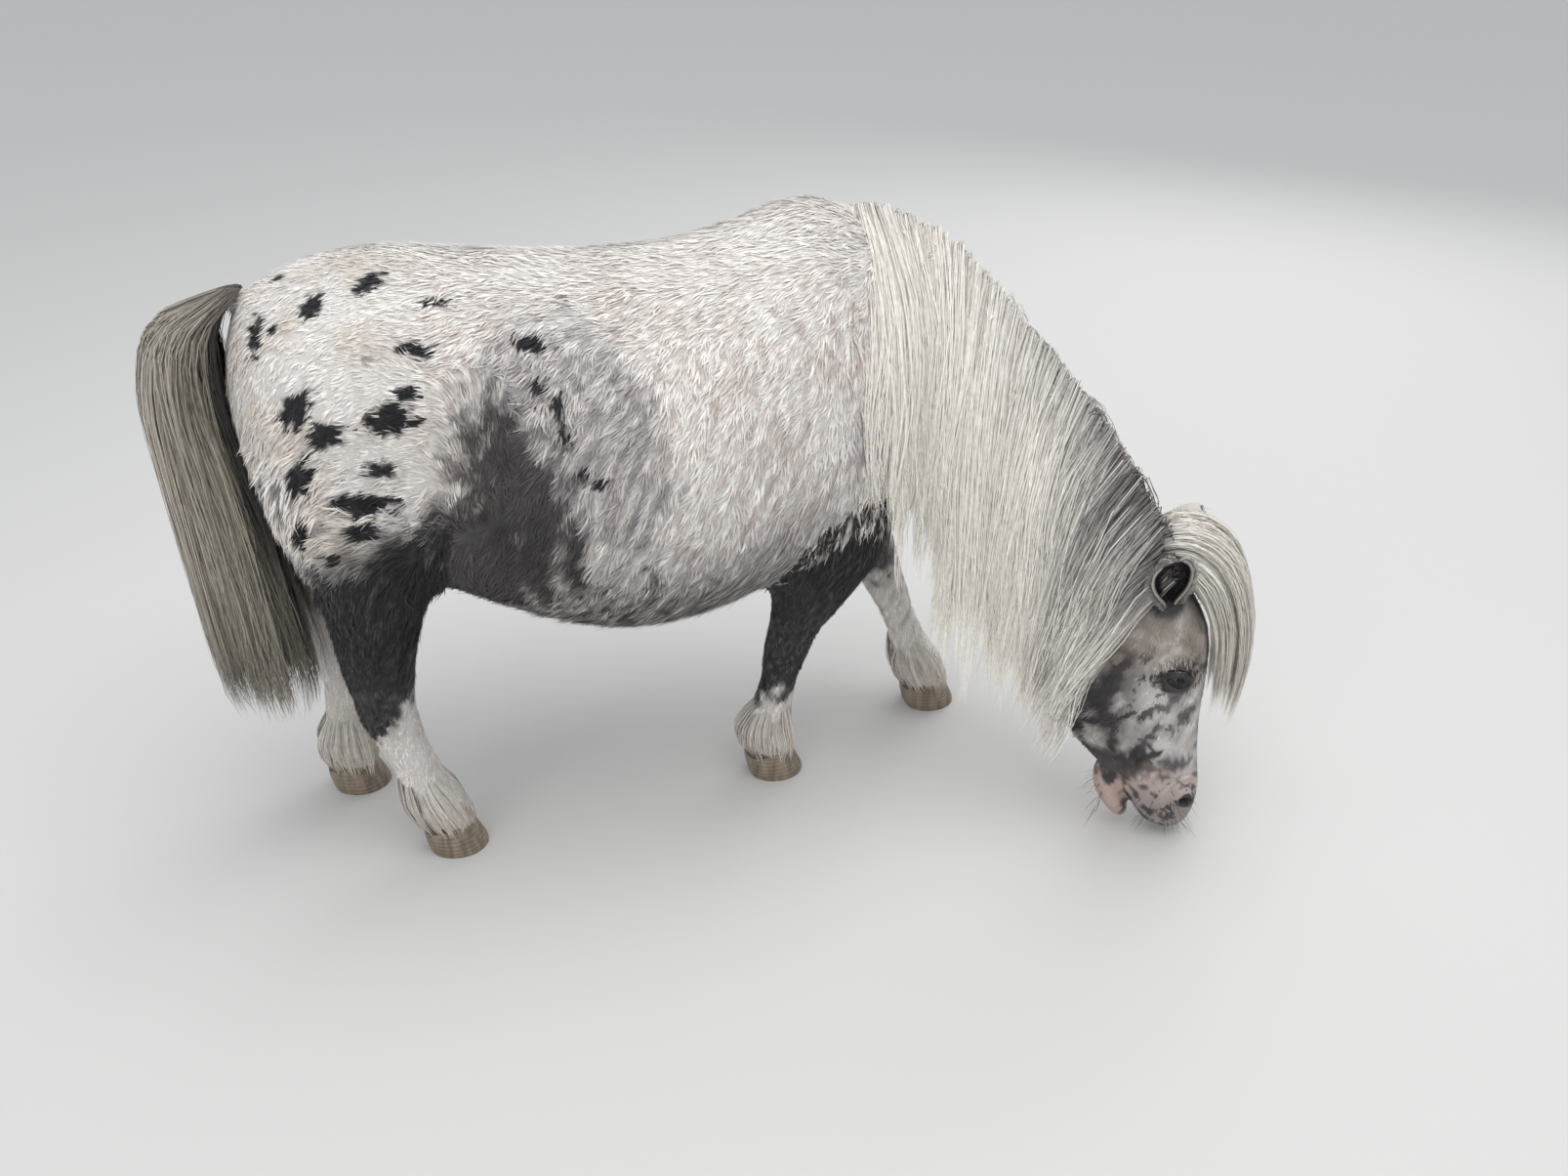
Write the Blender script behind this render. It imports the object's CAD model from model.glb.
"""Looks of a life-size grazing Shetland pony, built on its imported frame.

One skin of flesh is lofted from sections, fused and shaped round the eyes, nostrils and lips. Coat,
mane, forelock, tail and feather are joined meshes of tapered hairs that share the skin's markings.
Sections are in millimetres in the pony's own frame, +X from tail to chest, +Y to its left, +Z up,
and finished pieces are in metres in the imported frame.
"""

import logging
import math
from collections.abc import Callable
from dataclasses import dataclass, field
from enum import Enum, IntEnum
from functools import partial

import bmesh
import bpy
import numpy as np
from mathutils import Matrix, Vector
from mathutils.bvhtree import BVHTree
from mathutils.kdtree import KDTree


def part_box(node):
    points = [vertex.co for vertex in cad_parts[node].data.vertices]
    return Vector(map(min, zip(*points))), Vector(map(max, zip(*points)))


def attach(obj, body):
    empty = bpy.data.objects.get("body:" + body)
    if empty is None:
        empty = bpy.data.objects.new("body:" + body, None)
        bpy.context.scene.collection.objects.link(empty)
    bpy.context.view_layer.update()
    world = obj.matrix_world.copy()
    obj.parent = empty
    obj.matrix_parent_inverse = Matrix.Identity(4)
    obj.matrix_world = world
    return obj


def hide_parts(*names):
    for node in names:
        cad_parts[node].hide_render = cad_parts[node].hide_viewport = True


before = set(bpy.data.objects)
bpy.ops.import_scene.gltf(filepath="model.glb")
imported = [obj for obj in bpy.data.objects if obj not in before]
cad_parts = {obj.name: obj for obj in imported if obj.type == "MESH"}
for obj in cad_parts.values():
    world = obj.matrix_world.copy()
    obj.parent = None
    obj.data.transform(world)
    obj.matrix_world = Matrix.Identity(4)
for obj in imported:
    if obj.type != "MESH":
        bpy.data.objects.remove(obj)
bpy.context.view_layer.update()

LOG = logging.getLogger("pony")
TAU = 2 * math.pi
MM = 0.001
RNG = np.random.default_rng(20411)
Points = np.ndarray

HEAD_PLACE = np.array((735.0, -345.0, 12.0))
HEAD_TURN = math.radians(-26)
FORWARD = np.array((math.cos(HEAD_TURN), math.sin(HEAD_TURN), 0.0))
LEFTWARD = np.array((-math.sin(HEAD_TURN), math.cos(HEAD_TURN), 0.0))
UPWARD = np.array((0.0, 0.0, 1.0))
EYE_PLACE = np.array((-24.0, 67.0, 284.0))
EYE_RADIUS = 18.0
EYE_WAY = np.array((0.28, 1.0, 0.08))
LID_HALF_LENGTH = 15.5
UPPER_LID = 8.0
LOWER_LID = 6.4
LID_CURVE = 0.7
NOSTRIL_PLACE = np.array((19.0, 42.0, 64.0))
EAR_PLACE = np.array((-46.0, 39.0, 388.0))
EAR_LENGTH = 104.0
EAR_RADIUS = 29.0
EAR_WALL = 4.2
PHOTO_SIZE = (1606, 1204)
TUFT_STEPS = (0.0, 0.35, 0.7, 1.0)
SQUARE_CENTIMETRES = 10_000


class Part(IntEnum):
    """The parts of the animal that hair grows on in different ways."""

    TORSO = 0
    NECK = 1
    HEAD = 2
    HIND_RIGHT = 3
    HIND_LEFT = 4
    FORE_RIGHT = 5
    FORE_LEFT = 6
    DOCK = 7


LEG_PARTS = (Part.HIND_RIGHT, Part.HIND_LEFT, Part.FORE_RIGHT, Part.FORE_LEFT)

# Torso from rump to chest: x, topline, underline, height of the widest line, half-width
TORSO = np.array([
    (-486, 745, 615, 685, 62),
    (-474, 780, 560, 677, 112),
    (-440, 820, 505, 670, 162),
    (-370, 850, 456, 650, 205),
    (-290, 859, 428, 625, 226),
    (-200, 851, 381, 585, 233),
    (-100, 838, 334, 550, 246),
    (0, 832, 313, 535, 252),
    (100, 837, 321, 540, 247),
    (190, 858, 350, 555, 232),
    (270, 882, 384, 568, 210),
    (340, 862, 406, 572, 188),
    (400, 800, 422, 572, 160),
    (450, 715, 452, 575, 118),
    (468, 660, 500, 580, 72),
], float)

# Neck from withers to poll: centre x, y, z, reach to crest, reach to throat, half-width
NECK = np.array([
    (290, 0, 655, 222, 200, 110),
    (370, -10, 630, 215, 190, 128),
    (450, -48, 592, 184, 165, 118),
    (525, -108, 547, 148, 142, 102),
    (582, -174, 490, 130, 122, 88),
    (614, -236, 428, 124, 104, 75),
    (636, -291, 361, 98, 88, 62),
], float)

# Head from muzzle to poll: height, front, back, half-width in front and behind
HEAD = np.array([
    (-2, 14, -24, 24, 22),
    (14, 30, -44, 38, 34),
    (42, 38, -62, 45, 41),
    (76, 39, -88, 46, 41),
    (110, 34, -122, 41, 42),
    (150, 29, -154, 40, 46),
    (195, 26, -175, 47, 52),
    (240, 26, -177, 60, 58),
    (285, 25, -176, 70, 62),
    (325, 20, -166, 68, 62),
    (360, 5, -147, 58, 57),
    (390, -16, -122, 44, 46),
    (408, -38, -96, 28, 28),
], float)

# Lower lip from chin groove to lip: forward, height, depth, half-width
LOWER_LIP = np.array([
    (-84, 106, 20, 26),
    (-92, 80, 21, 30),
    (-89, 54, 21, 31),
    (-78, 28, 18, 29),
    (-67, 8, 12, 20),
], float)

# Legs from body to pastern: centre x, y, z, reach forward, reach back, half-width
LEGS = {
    Part.HIND_RIGHT: np.array([
        (-318, -105, 720, 100, 120, 62),
        (-318, -124, 650, 135, 150, 84),
        (-325, -140, 575, 130, 132, 98),
        (-336, -146, 505, 98, 98, 88),
        (-345, -142, 430, 68, 68, 68),
        (-352, -130, 350, 54, 56, 52),
        (-348, -120, 285, 40, 50, 42),
        (-345, -114, 246, 37, 47, 39),
        (-335, -106, 195, 34, 38, 33),
        (-320, -100, 140, 36, 38, 32),
        (-300, -97, 92, 38, 44, 38),
        (-287, -95, 60, 38, 40, 37),
        (-280, -95, 36, 32, 32, 31),
    ], float),
    Part.HIND_LEFT: np.array([
        (-340, 105, 720, 100, 110, 62),
        (-345, 124, 650, 130, 130, 84),
        (-360, 140, 575, 125, 112, 98),
        (-378, 146, 505, 98, 88, 88),
        (-392, 140, 430, 68, 66, 68),
        (-405, 126, 350, 54, 54, 52),
        (-412, 114, 285, 40, 48, 42),
        (-414, 108, 246, 37, 46, 39),
        (-412, 103, 195, 34, 36, 33),
        (-414, 100, 140, 34, 36, 32),
        (-416, 100, 92, 38, 42, 38),
        (-412, 100, 60, 38, 40, 37),
        (-410, 100, 36, 32, 32, 31),
    ], float),
    Part.FORE_RIGHT: np.array([
        (270, -92, 590, 90, 80, 52),
        (268, -112, 520, 108, 96, 74),
        (266, -118, 450, 100, 92, 78),
        (266, -106, 385, 84, 78, 62),
        (252, -90, 318, 60, 56, 48),
        (238, -74, 270, 44, 42, 39),
        (230, -64, 232, 39, 38, 37),
        (221, -54, 175, 31, 32, 29),
        (213, -48, 128, 33, 36, 31),
        (208, -45, 96, 38, 44, 38),
        (212, -45, 62, 38, 41, 38),
        (216, -45, 36, 32, 32, 31),
    ], float),
    Part.FORE_LEFT: np.array([
        (300, 92, 590, 90, 80, 52),
        (318, 112, 520, 100, 96, 74),
        (338, 118, 450, 92, 92, 78),
        (362, 106, 385, 80, 78, 62),
        (396, 94, 318, 58, 56, 48),
        (420, 86, 270, 44, 42, 39),
        (436, 82, 232, 39, 38, 37),
        (460, 76, 175, 31, 32, 29),
        (480, 73, 128, 33, 36, 31),
        (497, 72, 96, 38, 44, 38),
        (510, 72, 62, 38, 41, 38),
        (518, 72, 36, 32, 32, 31),
    ], float),
}

# Tail from dock to tips: centre x, y, z, reach forward, reach back, half-width
TAIL = np.array([
    (-456, 0, 824, 14, 18, 22),
    (-482, 0, 812, 28, 32, 42),
    (-525, 0, 782, 46, 46, 58),
    (-536, 0, 710, 54, 56, 66),
    (-528, 0, 620, 58, 64, 72),
    (-518, 0, 510, 60, 68, 76),
    (-510, -4, 390, 58, 66, 76),
    (-504, -8, 285, 56, 62, 68),
    (-500, -10, 220, 40, 46, 50),
], float)

# Outermost hair of the forelock in the head's frame: forward, leftward, height
FORELOCK_CREST = np.array([
    (-112, 0, 412),
    (-82, 6, 468),
    (-26, 12, 490),
    (36, 16, 456),
    (72, 18, 376),
    (82, 16, 296),
    (76, 12, 228),
    (66, 8, 165),
], float)

# Innermost hair of the forelock, which lies on the forehead
FORELOCK_BED = np.array([
    (-84, 0, 388),
    (-62, 4, 412),
    (-24, 8, 414),
    (8, 10, 386),
    (30, 12, 340),
    (37, 12, 290),
    (39, 10, 240),
    (39, 8, 190),
], float)


def from_head(points: Points) -> Points:
    """Moves places forward, leftward and up of the muzzle's lower end to the pony's frame."""
    points = np.asarray(points, float)
    return HEAD_PLACE + points[..., :1] * FORWARD + points[..., 1:2] * LEFTWARD + points[..., 2:] * UPWARD


def to_head(points: Points) -> Points:
    """Says how far forward, leftward and up of the muzzle's lower end places are."""
    away = np.asarray(points, float) - HEAD_PLACE
    return np.stack((away @ FORWARD, away @ LEFTWARD, away[..., 2]), -1)


def middle_of(node: str) -> Points:
    """Gives the middle of a CAD node's box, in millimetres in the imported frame."""
    low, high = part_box(node)
    return np.array((low + high) / 2) / MM


PACKED_SHIFT = middle_of("eye_right") - from_head(EYE_PLACE * (1, -1, 1))


def to_row(points: Points) -> Points:
    """Moves places from the pony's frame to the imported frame, in metres."""
    return (np.asarray(points, float) + PACKED_SHIFT) * MM


def from_row(points: Points) -> Points:
    """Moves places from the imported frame, in metres, to the pony's frame."""
    return np.asarray(points, float) / MM - PACKED_SHIFT


def stations_at(rows: Points, places: Points) -> Points:
    """Reads every column of a table of sections between its rows.

    Args:
        rows: One row for each section.
        places: Places from 0, the first row, to 1, the last.

    Returns:
        A smooth reading of all columns at each place.
    """
    last = len(rows) - 1
    spot = np.clip(places, 0, 1) * last
    i = np.minimum(spot.astype(int), last - 1)
    f = (spot - i)[..., None]
    a, b, c, d = (rows[np.clip(i + k, 0, last)] for k in (-1, 0, 1, 2))
    slope = (c - a) * f
    curve = (2 * a - 5 * b + 4 * c - d) * f**2
    twist = (3 * b - a - 3 * c + d) * f**3
    return 0.5 * (2 * b + slope + curve + twist)


def rounded(values: Points, power: float) -> Points:
    """Raises the size of signed values to a power and keeps their signs."""
    return np.sign(values) * np.abs(values) ** power


def unit(vectors: Points) -> Points:
    """Scales vectors to length 1."""
    return vectors / np.maximum(np.linalg.norm(vectors, axis=-1, keepdims=True), 1e-9)


def blend(low: float, high: float, values: Points) -> Points:
    """Rises smoothly from 0 at low to 1 at high, which may be below low for a fall."""
    t = np.clip((values - low) / (high - low), 0, 1)
    return t * t * (3 - 2 * t)


def strand_count(full: int) -> int:
    """Gives how many hairs are grown, a third of them on a quick pass."""
    return full // 1


def reach_from(points: Points, middle: Points) -> Points:
    """Gives how far points of the head are from a place, seen from its side."""
    return np.hypot(points[:, 0] - middle[0], points[:, 2] - middle[2])


def mottle(points: Points, size: float, seed: int, octaves: int = 3) -> Points:
    """Gives a smooth random value for each place, made of crossing waves.

    Args:
        points: Places, in millimetres.
        size: Width of the largest blots, in millimetres.
        seed: Which pattern of the many.
        octaves: How many finer patterns are laid over the first.

    Returns:
        Values about 0, mostly from -1 to 1.
    """
    draws = np.random.default_rng(seed)
    total = np.zeros(len(points))
    for octave in range(octaves):
        waves = 7
        ways = unit(draws.normal(size=(waves, 3))) * TAU / (size * 1.3) * 2.1**octave
        ways *= draws.uniform(0.7, 1.4, (waves, 1))
        phases = draws.uniform(0, TAU, waves)
        bent = points + 0.25 * size * np.sin(points[:, [1, 2, 0]] * (2.2 / size) * 1.7**octave)
        total += np.sin(bent @ ways.T + phases).sum(1) / math.sqrt(waves / 2) * 0.55**octave
    return total * 0.7


def grained(points: Points) -> Points:
    """Squeezes places along the lie of the coat, so that patterns read there run with the hair.

    Args:
        points: Places in the pony's frame.

    Returns:
        The squeezed places.
    """
    back, down, squeeze = 0.43, 0.90, 0.22
    x, y, z = points.T
    along = -back * x - down * z
    across = down * x - back * z
    return np.stack((along * squeeze, across, y), -1)


def leg_place(part: Part, points: Points) -> Points:
    """Says where points are round a leg.

    Args:
        part: Which leg.
        points: Places in the pony's frame.

    Returns:
        For each, how far forward and leftward of the leg's middle it is, at its own height.
    """
    rows = LEGS[part][::-1]
    x = np.interp(points[:, 2], rows[:, 2], rows[:, 0])
    y = np.interp(points[:, 2], rows[:, 2], rows[:, 1])
    return np.stack((points[:, 0] - x, points[:, 1] - y), -1)


@dataclass(frozen=True)
class PhotoView:
    """Where the photograph was taken from, in the pony's frame, and how far its lens reached."""

    place: tuple[float, float, float] = (-296.7, -1863.1, 1370.0)
    yaw: float = math.radians(16.18)
    pitch: float = math.radians(29.0)
    focal_pixels: float = 1500.0

    def ahead(self) -> Vector:
        """Works out the direction that the lens looks in."""
        level = math.cos(self.pitch)
        return Vector((math.sin(self.yaw) * level, math.cos(self.yaw) * level, -math.sin(self.pitch)))

    def seen(self, across: float, down: float, flesh: BVHTree) -> Points:
        """Finds what the photograph shows at a picture place.

        Args:
            across: Pixels from the picture's left edge.
            down: Pixels from its top edge.
            flesh: The surface that is looked at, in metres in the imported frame.

        Returns:
            The place on the surface, in the pony's frame.
        """
        right = Vector((math.cos(self.yaw), -math.sin(self.yaw), 0.0))
        up = right.cross(self.ahead())
        aside = right * (across - PHOTO_SIZE[0] / 2) / self.focal_pixels
        above = up * (PHOTO_SIZE[1] / 2 - down) / self.focal_pixels
        start = Vector(to_row(np.array(self.place)))
        return from_row(np.array(flesh.ray_cast(start, self.ahead() + aside + above)[0]))


def cad_flesh(names: tuple[str, ...]) -> BVHTree:
    """Gathers CAD nodes as one surface to look at.

    Args:
        names: The nodes' names.

    Returns:
        The surface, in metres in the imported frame.
    """
    places: list[Vector] = []
    faces: list[list[int]] = []
    for name in names:
        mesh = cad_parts[name].data
        first = len(places)
        faces += [[first + corner for corner in face.vertices] for face in mesh.polygons]
        places += [vertex.co.copy() for vertex in mesh.vertices]
    return BVHTree.FromPolygons(places, faces)


@dataclass(frozen=True)
class Spot:
    """A dark spot of the rump.

    Its place in the photograph is in pixels and its turn there in degrees. Its half-length and
    half-width are in millimetres on the coat, and its depth is the strength of its colour.
    """

    across: float
    down: float
    turn: float
    long: float
    short: float
    depth: float = 1.0


RUMP_SPOTS = (
    Spot(across=376, down=288, turn=35, long=29, short=9),
    Spot(across=318, down=309, turn=60, long=22, short=12),
    Spot(across=258, down=343, turn=85, long=36, short=9),
    Spot(across=277, down=333, turn=0, long=6, short=5),
    Spot(across=284, down=283, turn=0, long=5, short=5),
    Spot(across=447, down=306, turn=0, long=14, short=6),
    Spot(across=425, down=357, turn=-5, long=20, short=8),
    Spot(across=375, down=370, turn=0, long=6, short=5, depth=0.5),
    Spot(across=419, down=403, turn=-5, long=18, short=7),
    Spot(across=398, down=431, turn=10, long=26, short=16),
    Spot(across=428, down=434, turn=0, long=7, short=5),
    Spot(across=299, down=422, turn=60, long=26, short=14),
    Spot(across=332, down=448, turn=5, long=26, short=15),
    Spot(across=307, down=491, turn=65, long=23, short=12),
    Spot(across=389, down=482, turn=0, long=16, short=8),
    Spot(across=372, down=518, turn=-3, long=36, short=12),
    Spot(across=372, down=546, turn=8, long=15, short=8),
    Spot(across=310, down=546, turn=90, long=16, short=7),
    Spot(across=329, down=543, turn=0, long=6, short=5, depth=0.5),
    Spot(across=340, down=573, turn=0, long=8, short=6),
    Spot(across=268, down=504, turn=85, long=14, short=5, depth=0.7),
    Spot(across=282, down=502, turn=85, long=12, short=4, depth=0.7),
    Spot(across=286, down=527, turn=80, long=9, short=5, depth=0.6),
    Spot(across=542, down=350, turn=-8, long=22, short=8),
    Spot(across=553, down=395, turn=-30, long=8, short=6),
    Spot(across=573, down=416, turn=-60, long=13, short=7),
    Spot(across=580, down=445, turn=-80, long=11, short=5),
    Spot(across=599, down=488, turn=-70, long=13, short=5),
    Spot(across=620, down=498, turn=0, long=10, short=5),
    Spot(across=581, down=309, turn=-50, long=9, short=5, depth=0.6),
)


@dataclass(frozen=True)
class PlacedSpot:
    """A spot laid on the body."""

    spot: Spot
    middle: Points
    axis: Points

    def cover(self, points: Points, flatten: float = 1.0) -> Points:
        """Says how strongly the spot colours each place.

        Args:
            points: Places in the pony's frame.
            flatten: Share of the distance across the pony that counts.

        Returns:
            The cover at each place, from 0 to 1.
        """
        away = (points - self.middle) * (1, flatten, 1)
        farthest = self.spot.long * 2 + 12
        near = np.where(np.abs(away).max(1) < farthest)[0]
        cover = np.zeros(len(points))
        away = away[near]
        along = away @ self.axis
        aside = np.sqrt(np.maximum((away**2).sum(1) - along**2, 0))
        ragged = 0.22 * mottle(points[near], 13, self.spot.across * 7 + self.spot.down)
        reach = np.hypot(along / (self.spot.long + 4), aside / (self.spot.short + 3.5)) + ragged
        cover[near] = self.spot.depth * blend(1.12, 0.86, reach)
        return cover


def placed_spots(view: PhotoView, flesh: BVHTree) -> list[PlacedSpot]:
    """Lays the rump's spots on the body where the photograph shows them.

    Args:
        view: Where the photograph was taken from.
        flesh: The body that it shows.

    Returns:
        The placed spots.
    """
    step = 6
    placed: list[PlacedSpot] = []
    for spot in RUMP_SPOTS:
        turn = math.radians(spot.turn)
        middle = view.seen(spot.across, spot.down, flesh)
        beside = view.seen(
            spot.across + step * math.cos(turn), spot.down - step * math.sin(turn), flesh
        )
        placed.append(PlacedSpot(spot, middle, unit(beside - middle)))
    return placed


class Shade(Enum):
    """Colours of the coat, as linear red, green and blue."""

    CREAM = (0.78, 0.745, 0.705)
    ROSY = (0.53, 0.46, 0.42)
    ROAN = (0.25, 0.235, 0.235)
    BEIGE = (0.30, 0.25, 0.205)
    CHARCOAL = (0.045, 0.041, 0.042)
    SOOT = (0.024, 0.023, 0.024)
    BLACK = (0.016, 0.015, 0.017)
    SOILED = (0.50, 0.43, 0.33)
    PINK = (0.60, 0.45, 0.39)
    MANE_CREAM = (0.88, 0.84, 0.77)
    MANE_GREY = (0.25, 0.23, 0.225)
    TAIL_BROWN = (0.33, 0.295, 0.24)
    TAIL_CREAM = (0.58, 0.53, 0.45)

    @property
    def rgb(self) -> Points:
        """The colour as an array."""
        return np.array(self.value)


def tinted(colours: Points, shade: Shade, cover: Points) -> Points:
    """Lays a shade over colours, one a place, as far as its cover says."""
    cover = np.clip(cover, 0, 1)[:, None]
    return colours * (1 - cover) + shade.rgb * cover


@dataclass(frozen=True)
class Patch:
    """A patch seen from the side: its middle and half-sizes in millimetres.

    Its upper part slants back by a share of its height over the level of slant.
    """

    x: float
    z: float
    long: float
    high: float
    slant: float = 0.0
    slant_level: float = 640.0

    def reach(self, x: Points, z: Points) -> Points:
        """Says how far out places are, from 0 in the patch's middle to 1 on its rim."""
        ahead = x - self.x + self.slant * (z - self.slant_level)
        return np.hypot(ahead / self.long, (z - self.z) / self.high)


ROAN_FLANK = Patch(x=-70, z=670, long=112, high=165, slant=0.2)
DARK_FOLD = Patch(x=-168, z=606, long=74, high=118, slant=0.25)
STIFLE = Patch(x=-222, z=500, long=118, high=98)
ELBOW = Patch(x=190, z=455, long=110, high=75)
SHOULDER = Patch(x=330, z=590, long=60, high=90)
MOUTH_CORNER = Patch(x=-58, z=122, long=30, high=26)
EYE_SOCKET = Patch(x=EYE_PLACE[0], z=EYE_PLACE[2], long=30, high=21)
PALE_CHEEK = Patch(x=-42, z=245, long=30, high=42)
NOSTRIL_RIM = Patch(x=NOSTRIL_PLACE[0], z=NOSTRIL_PLACE[2], long=12, high=11)


@dataclass
class Markings:
    """The coat's pattern, which skin and hair both read."""

    spots: list[PlacedSpot]
    far_side_shift: tuple[float, float, float] = (38, 0, -17)

    def colour(self, points: Points, parts: Points) -> Points:
        """Colours places on the animal.

        Args:
            points: Places in the pony's frame, in millimetres.
            parts: The value of each place's Part.

        Returns:
            One colour a place.
        """
        colours = np.repeat(Shade.CREAM.rgb[None], len(points), 0)
        streaks = mottle(grained(points), 12, 11)
        broad = mottle(points, 130, 12, 2)
        rump = blend(-230, -330, points[:, 0])
        spine = blend(760, 850, points[:, 2])
        rosy = (0.30 + 0.40 * streaks) * (1 - 0.6 * rump) * (1 - 0.6 * spine) + 0.12 * broad
        colours = tinted(colours, Shade.ROSY, rosy)
        colours = tinted(colours, Shade.ROAN, 0.10 * rump)
        colours = tinted(colours, Shade.SOILED, 0.30 * rump * blend(-0.2, 0.9, broad))
        colours = self.flank(points, colours)
        for spot in self.spots:
            colours = tinted(colours, Shade.BLACK, spot.cover(points))
            far_side = points * (1, -1, 1) + self.far_side_shift
            beside_spine = abs(spot.middle[1]) <= 150
            flatten = 0.6 if beside_spine else 0.25
            colours = tinted(colours, Shade.BLACK, spot.cover(far_side, flatten))
        for part in LEG_PARTS:
            mine = parts == part
            colours[mine] = self.leg(part, points[mine], colours[mine])
        mine = parts == Part.HEAD
        colours[mine] = self.face(to_head(points[mine]), colours[mine])
        mine = parts == Part.NECK
        poll = blend(520, 620, points[mine][:, 0] - 0.4 * points[mine][:, 1])
        colours[mine] = tinted(colours[mine], Shade.ROAN, 0.75 * poll)
        return colours

    def flank(self, points: Points, colours: Points) -> Points:
        """Darkens the flanks and belly with roan and charcoal patches, on both sides.

        Args:
            points: Places in the pony's frame.
            colours: Their colours so far.

        Returns:
            The new colours.
        """
        x, y, z = points.T
        blots = mottle(points, 46, 3)
        fine = mottle(points * (1, 1, 1.6), 16, 5)
        outside = blend(60, 150, np.abs(y))
        grain = mottle(grained(points), 14, 6, 2)
        roan = blend(1.04, 0.80, ROAN_FLANK.reach(x, z) + 0.07 * blots) * blend(840, 740, z)
        colours = tinted(colours, Shade.ROAN, roan * (0.58 + 0.26 * grain) * outside)
        low = blend(640, 480, z + 40 * blots) * blend(330, 240, x) * blend(-330, -200, x)
        colours = tinted(colours, Shade.ROAN, 0.62 * low * blend(-0.5, 0.7, blots + 0.4 * fine) * outside)
        dark = blend(1.2, 0.6, DARK_FOLD.reach(x, z) + 0.14 * blots + 0.12 * fine)
        colours = tinted(colours, Shade.CHARCOAL, 0.94 * dark * outside)
        stifle = blend(1.25, 0.75, STIFLE.reach(x, z) + 0.14 * blots)
        colours = tinted(colours, Shade.CHARCOAL, 0.94 * stifle * outside)
        belly = z + 34 * blots + 0.25 * np.abs(x + 90)
        under = blend(545, 425, belly) * blend(330, 190, x) * blend(300, 330, z)
        colours = tinted(colours, Shade.CHARCOAL, under * (0.66 + 0.26 * fine))
        elbow = blend(1.1, 0.6, ELBOW.reach(x, z) + 0.25 * blots)
        colours = tinted(colours, Shade.ROAN, 0.62 * elbow * outside * (0.7 + 0.3 * fine))
        shoulder = blend(1.1, 0.5, SHOULDER.reach(x, z) + 0.25 * blots)
        return tinted(colours, Shade.ROAN, 0.55 * shoulder * outside)

    def leg(self, part: Part, points: Points, colours: Points) -> Points:
        """Darkens a leg from its thigh or elbow down, above a pale foot.

        Args:
            part: Which leg.
            points: Places in the pony's frame.
            colours: Their colours so far.

        Returns:
            The new colours.
        """
        ahead, _ = leg_place(part, points).T
        z = points[:, 2] + 10 * mottle(points, 34, 20 + part)
        speckle = mottle(points, 9, 30 + part)
        top, bottom, cover = {
            Part.HIND_RIGHT: (575, 250, 0.995),
            Part.HIND_LEFT: (520, 330, 0.55),
            Part.FORE_RIGHT: (520, 152, 0.995),
            Part.FORE_LEFT: (520, 265, 0.85),
        }[part]
        diagonal = 1.15 if part is Part.HIND_RIGHT else 0.35
        upper = blend(top + 40, top - 45, z - 0.5 * ahead)
        lower = blend(bottom - 12, bottom + 12, z - diagonal * ahead)
        colours = tinted(colours, Shade.SOOT, cover * upper * lower * (1.0 + 0.06 * speckle))
        foot = blend(130, 50, points[:, 2])
        return tinted(colours, Shade.SOILED, 0.45 * foot + 0.12 * speckle * foot)

    def face(self, points: Points, colours: Points) -> Points:
        """Mottles the face, with bare pink and black skin round the lips and nostrils.

        Args:
            points: Places in the head's frame.
            colours: Their colours so far.

        Returns:
            The new colours.
        """
        forward, side, z = points.T
        broad = mottle(points * (1, 1, 0.8), 40, 41)
        small = mottle(points, 17, 42)
        colours = tinted(colours, Shade.ROAN, 0.42 + 0.30 * broad)
        front = blend(-70, -15, forward)
        cheek = blend(-35, -95, forward + 14 * broad) * blend(90, 125, z) * blend(360, 270, z)
        colours = tinted(colours, Shade.CHARCOAL, cheek * (0.80 + 0.26 * broad))
        brow = blend(275, 315, z + 10 * small)
        colours = tinted(colours, Shade.BEIGE, brow * (0.78 + 0.25 * broad))
        colours = tinted(colours, Shade.CREAM, 0.8 * np.exp(-(PALE_CHEEK.reach(forward, z) ** 2)))
        blots = blend(0.50, 0.66, broad * 0.7 + small * 0.55) * (1 - 0.25 * front) * blend(340, 300, z)
        colours = tinted(colours, Shade.CHARCOAL, 0.93 * blots)
        corner = MOUTH_CORNER.reach(forward, z) + 0.5 * small
        colours = tinted(colours, Shade.BLACK, 0.93 * blend(0.95, 0.75, corner))
        socket = EYE_SOCKET.reach(forward, z) + 0.15 * small
        beside = blend(38, 50, np.abs(side))
        colours = tinted(colours, Shade.BLACK, 0.92 * blend(1.15, 0.8, socket) * beside)
        above = blend(345, 385, z)
        colours = tinted(colours, Shade.MANE_GREY, 0.55 * above)
        ear = np.linalg.norm(np.abs(points) * (0, 1, 0) + points * (1, 0, 1) - EAR_PLACE, axis=1)
        colours = tinted(colours, Shade.CHARCOAL, 0.9 * blend(30, 20, ear))
        bare = blend(122, 82, z + 8 * small)
        colours = tinted(colours, Shade.PINK, 0.6 * bare)
        colours = tinted(colours, Shade.ROAN, 0.62 * bare * blend(110, 40, z))
        colours = tinted(colours, Shade.CHARCOAL, bare * blend(0.10, 0.55, small + 0.45 * broad) * 0.85)
        nostril = NOSTRIL_RIM.reach(forward, z) + 0.2 * small
        beside = blend(20, 32, np.abs(side))
        colours = tinted(colours, Shade.BLACK, blend(1.25, 0.8, nostril) * beside * 0.93)
        chin = blend(-60, -72, forward + 3 * small)
        groove = 0.9 * chin * blend(150, 128, z) * blend(70, 84, z + 10 * small)
        colours = tinted(colours, Shade.CHARCOAL, groove)
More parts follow.
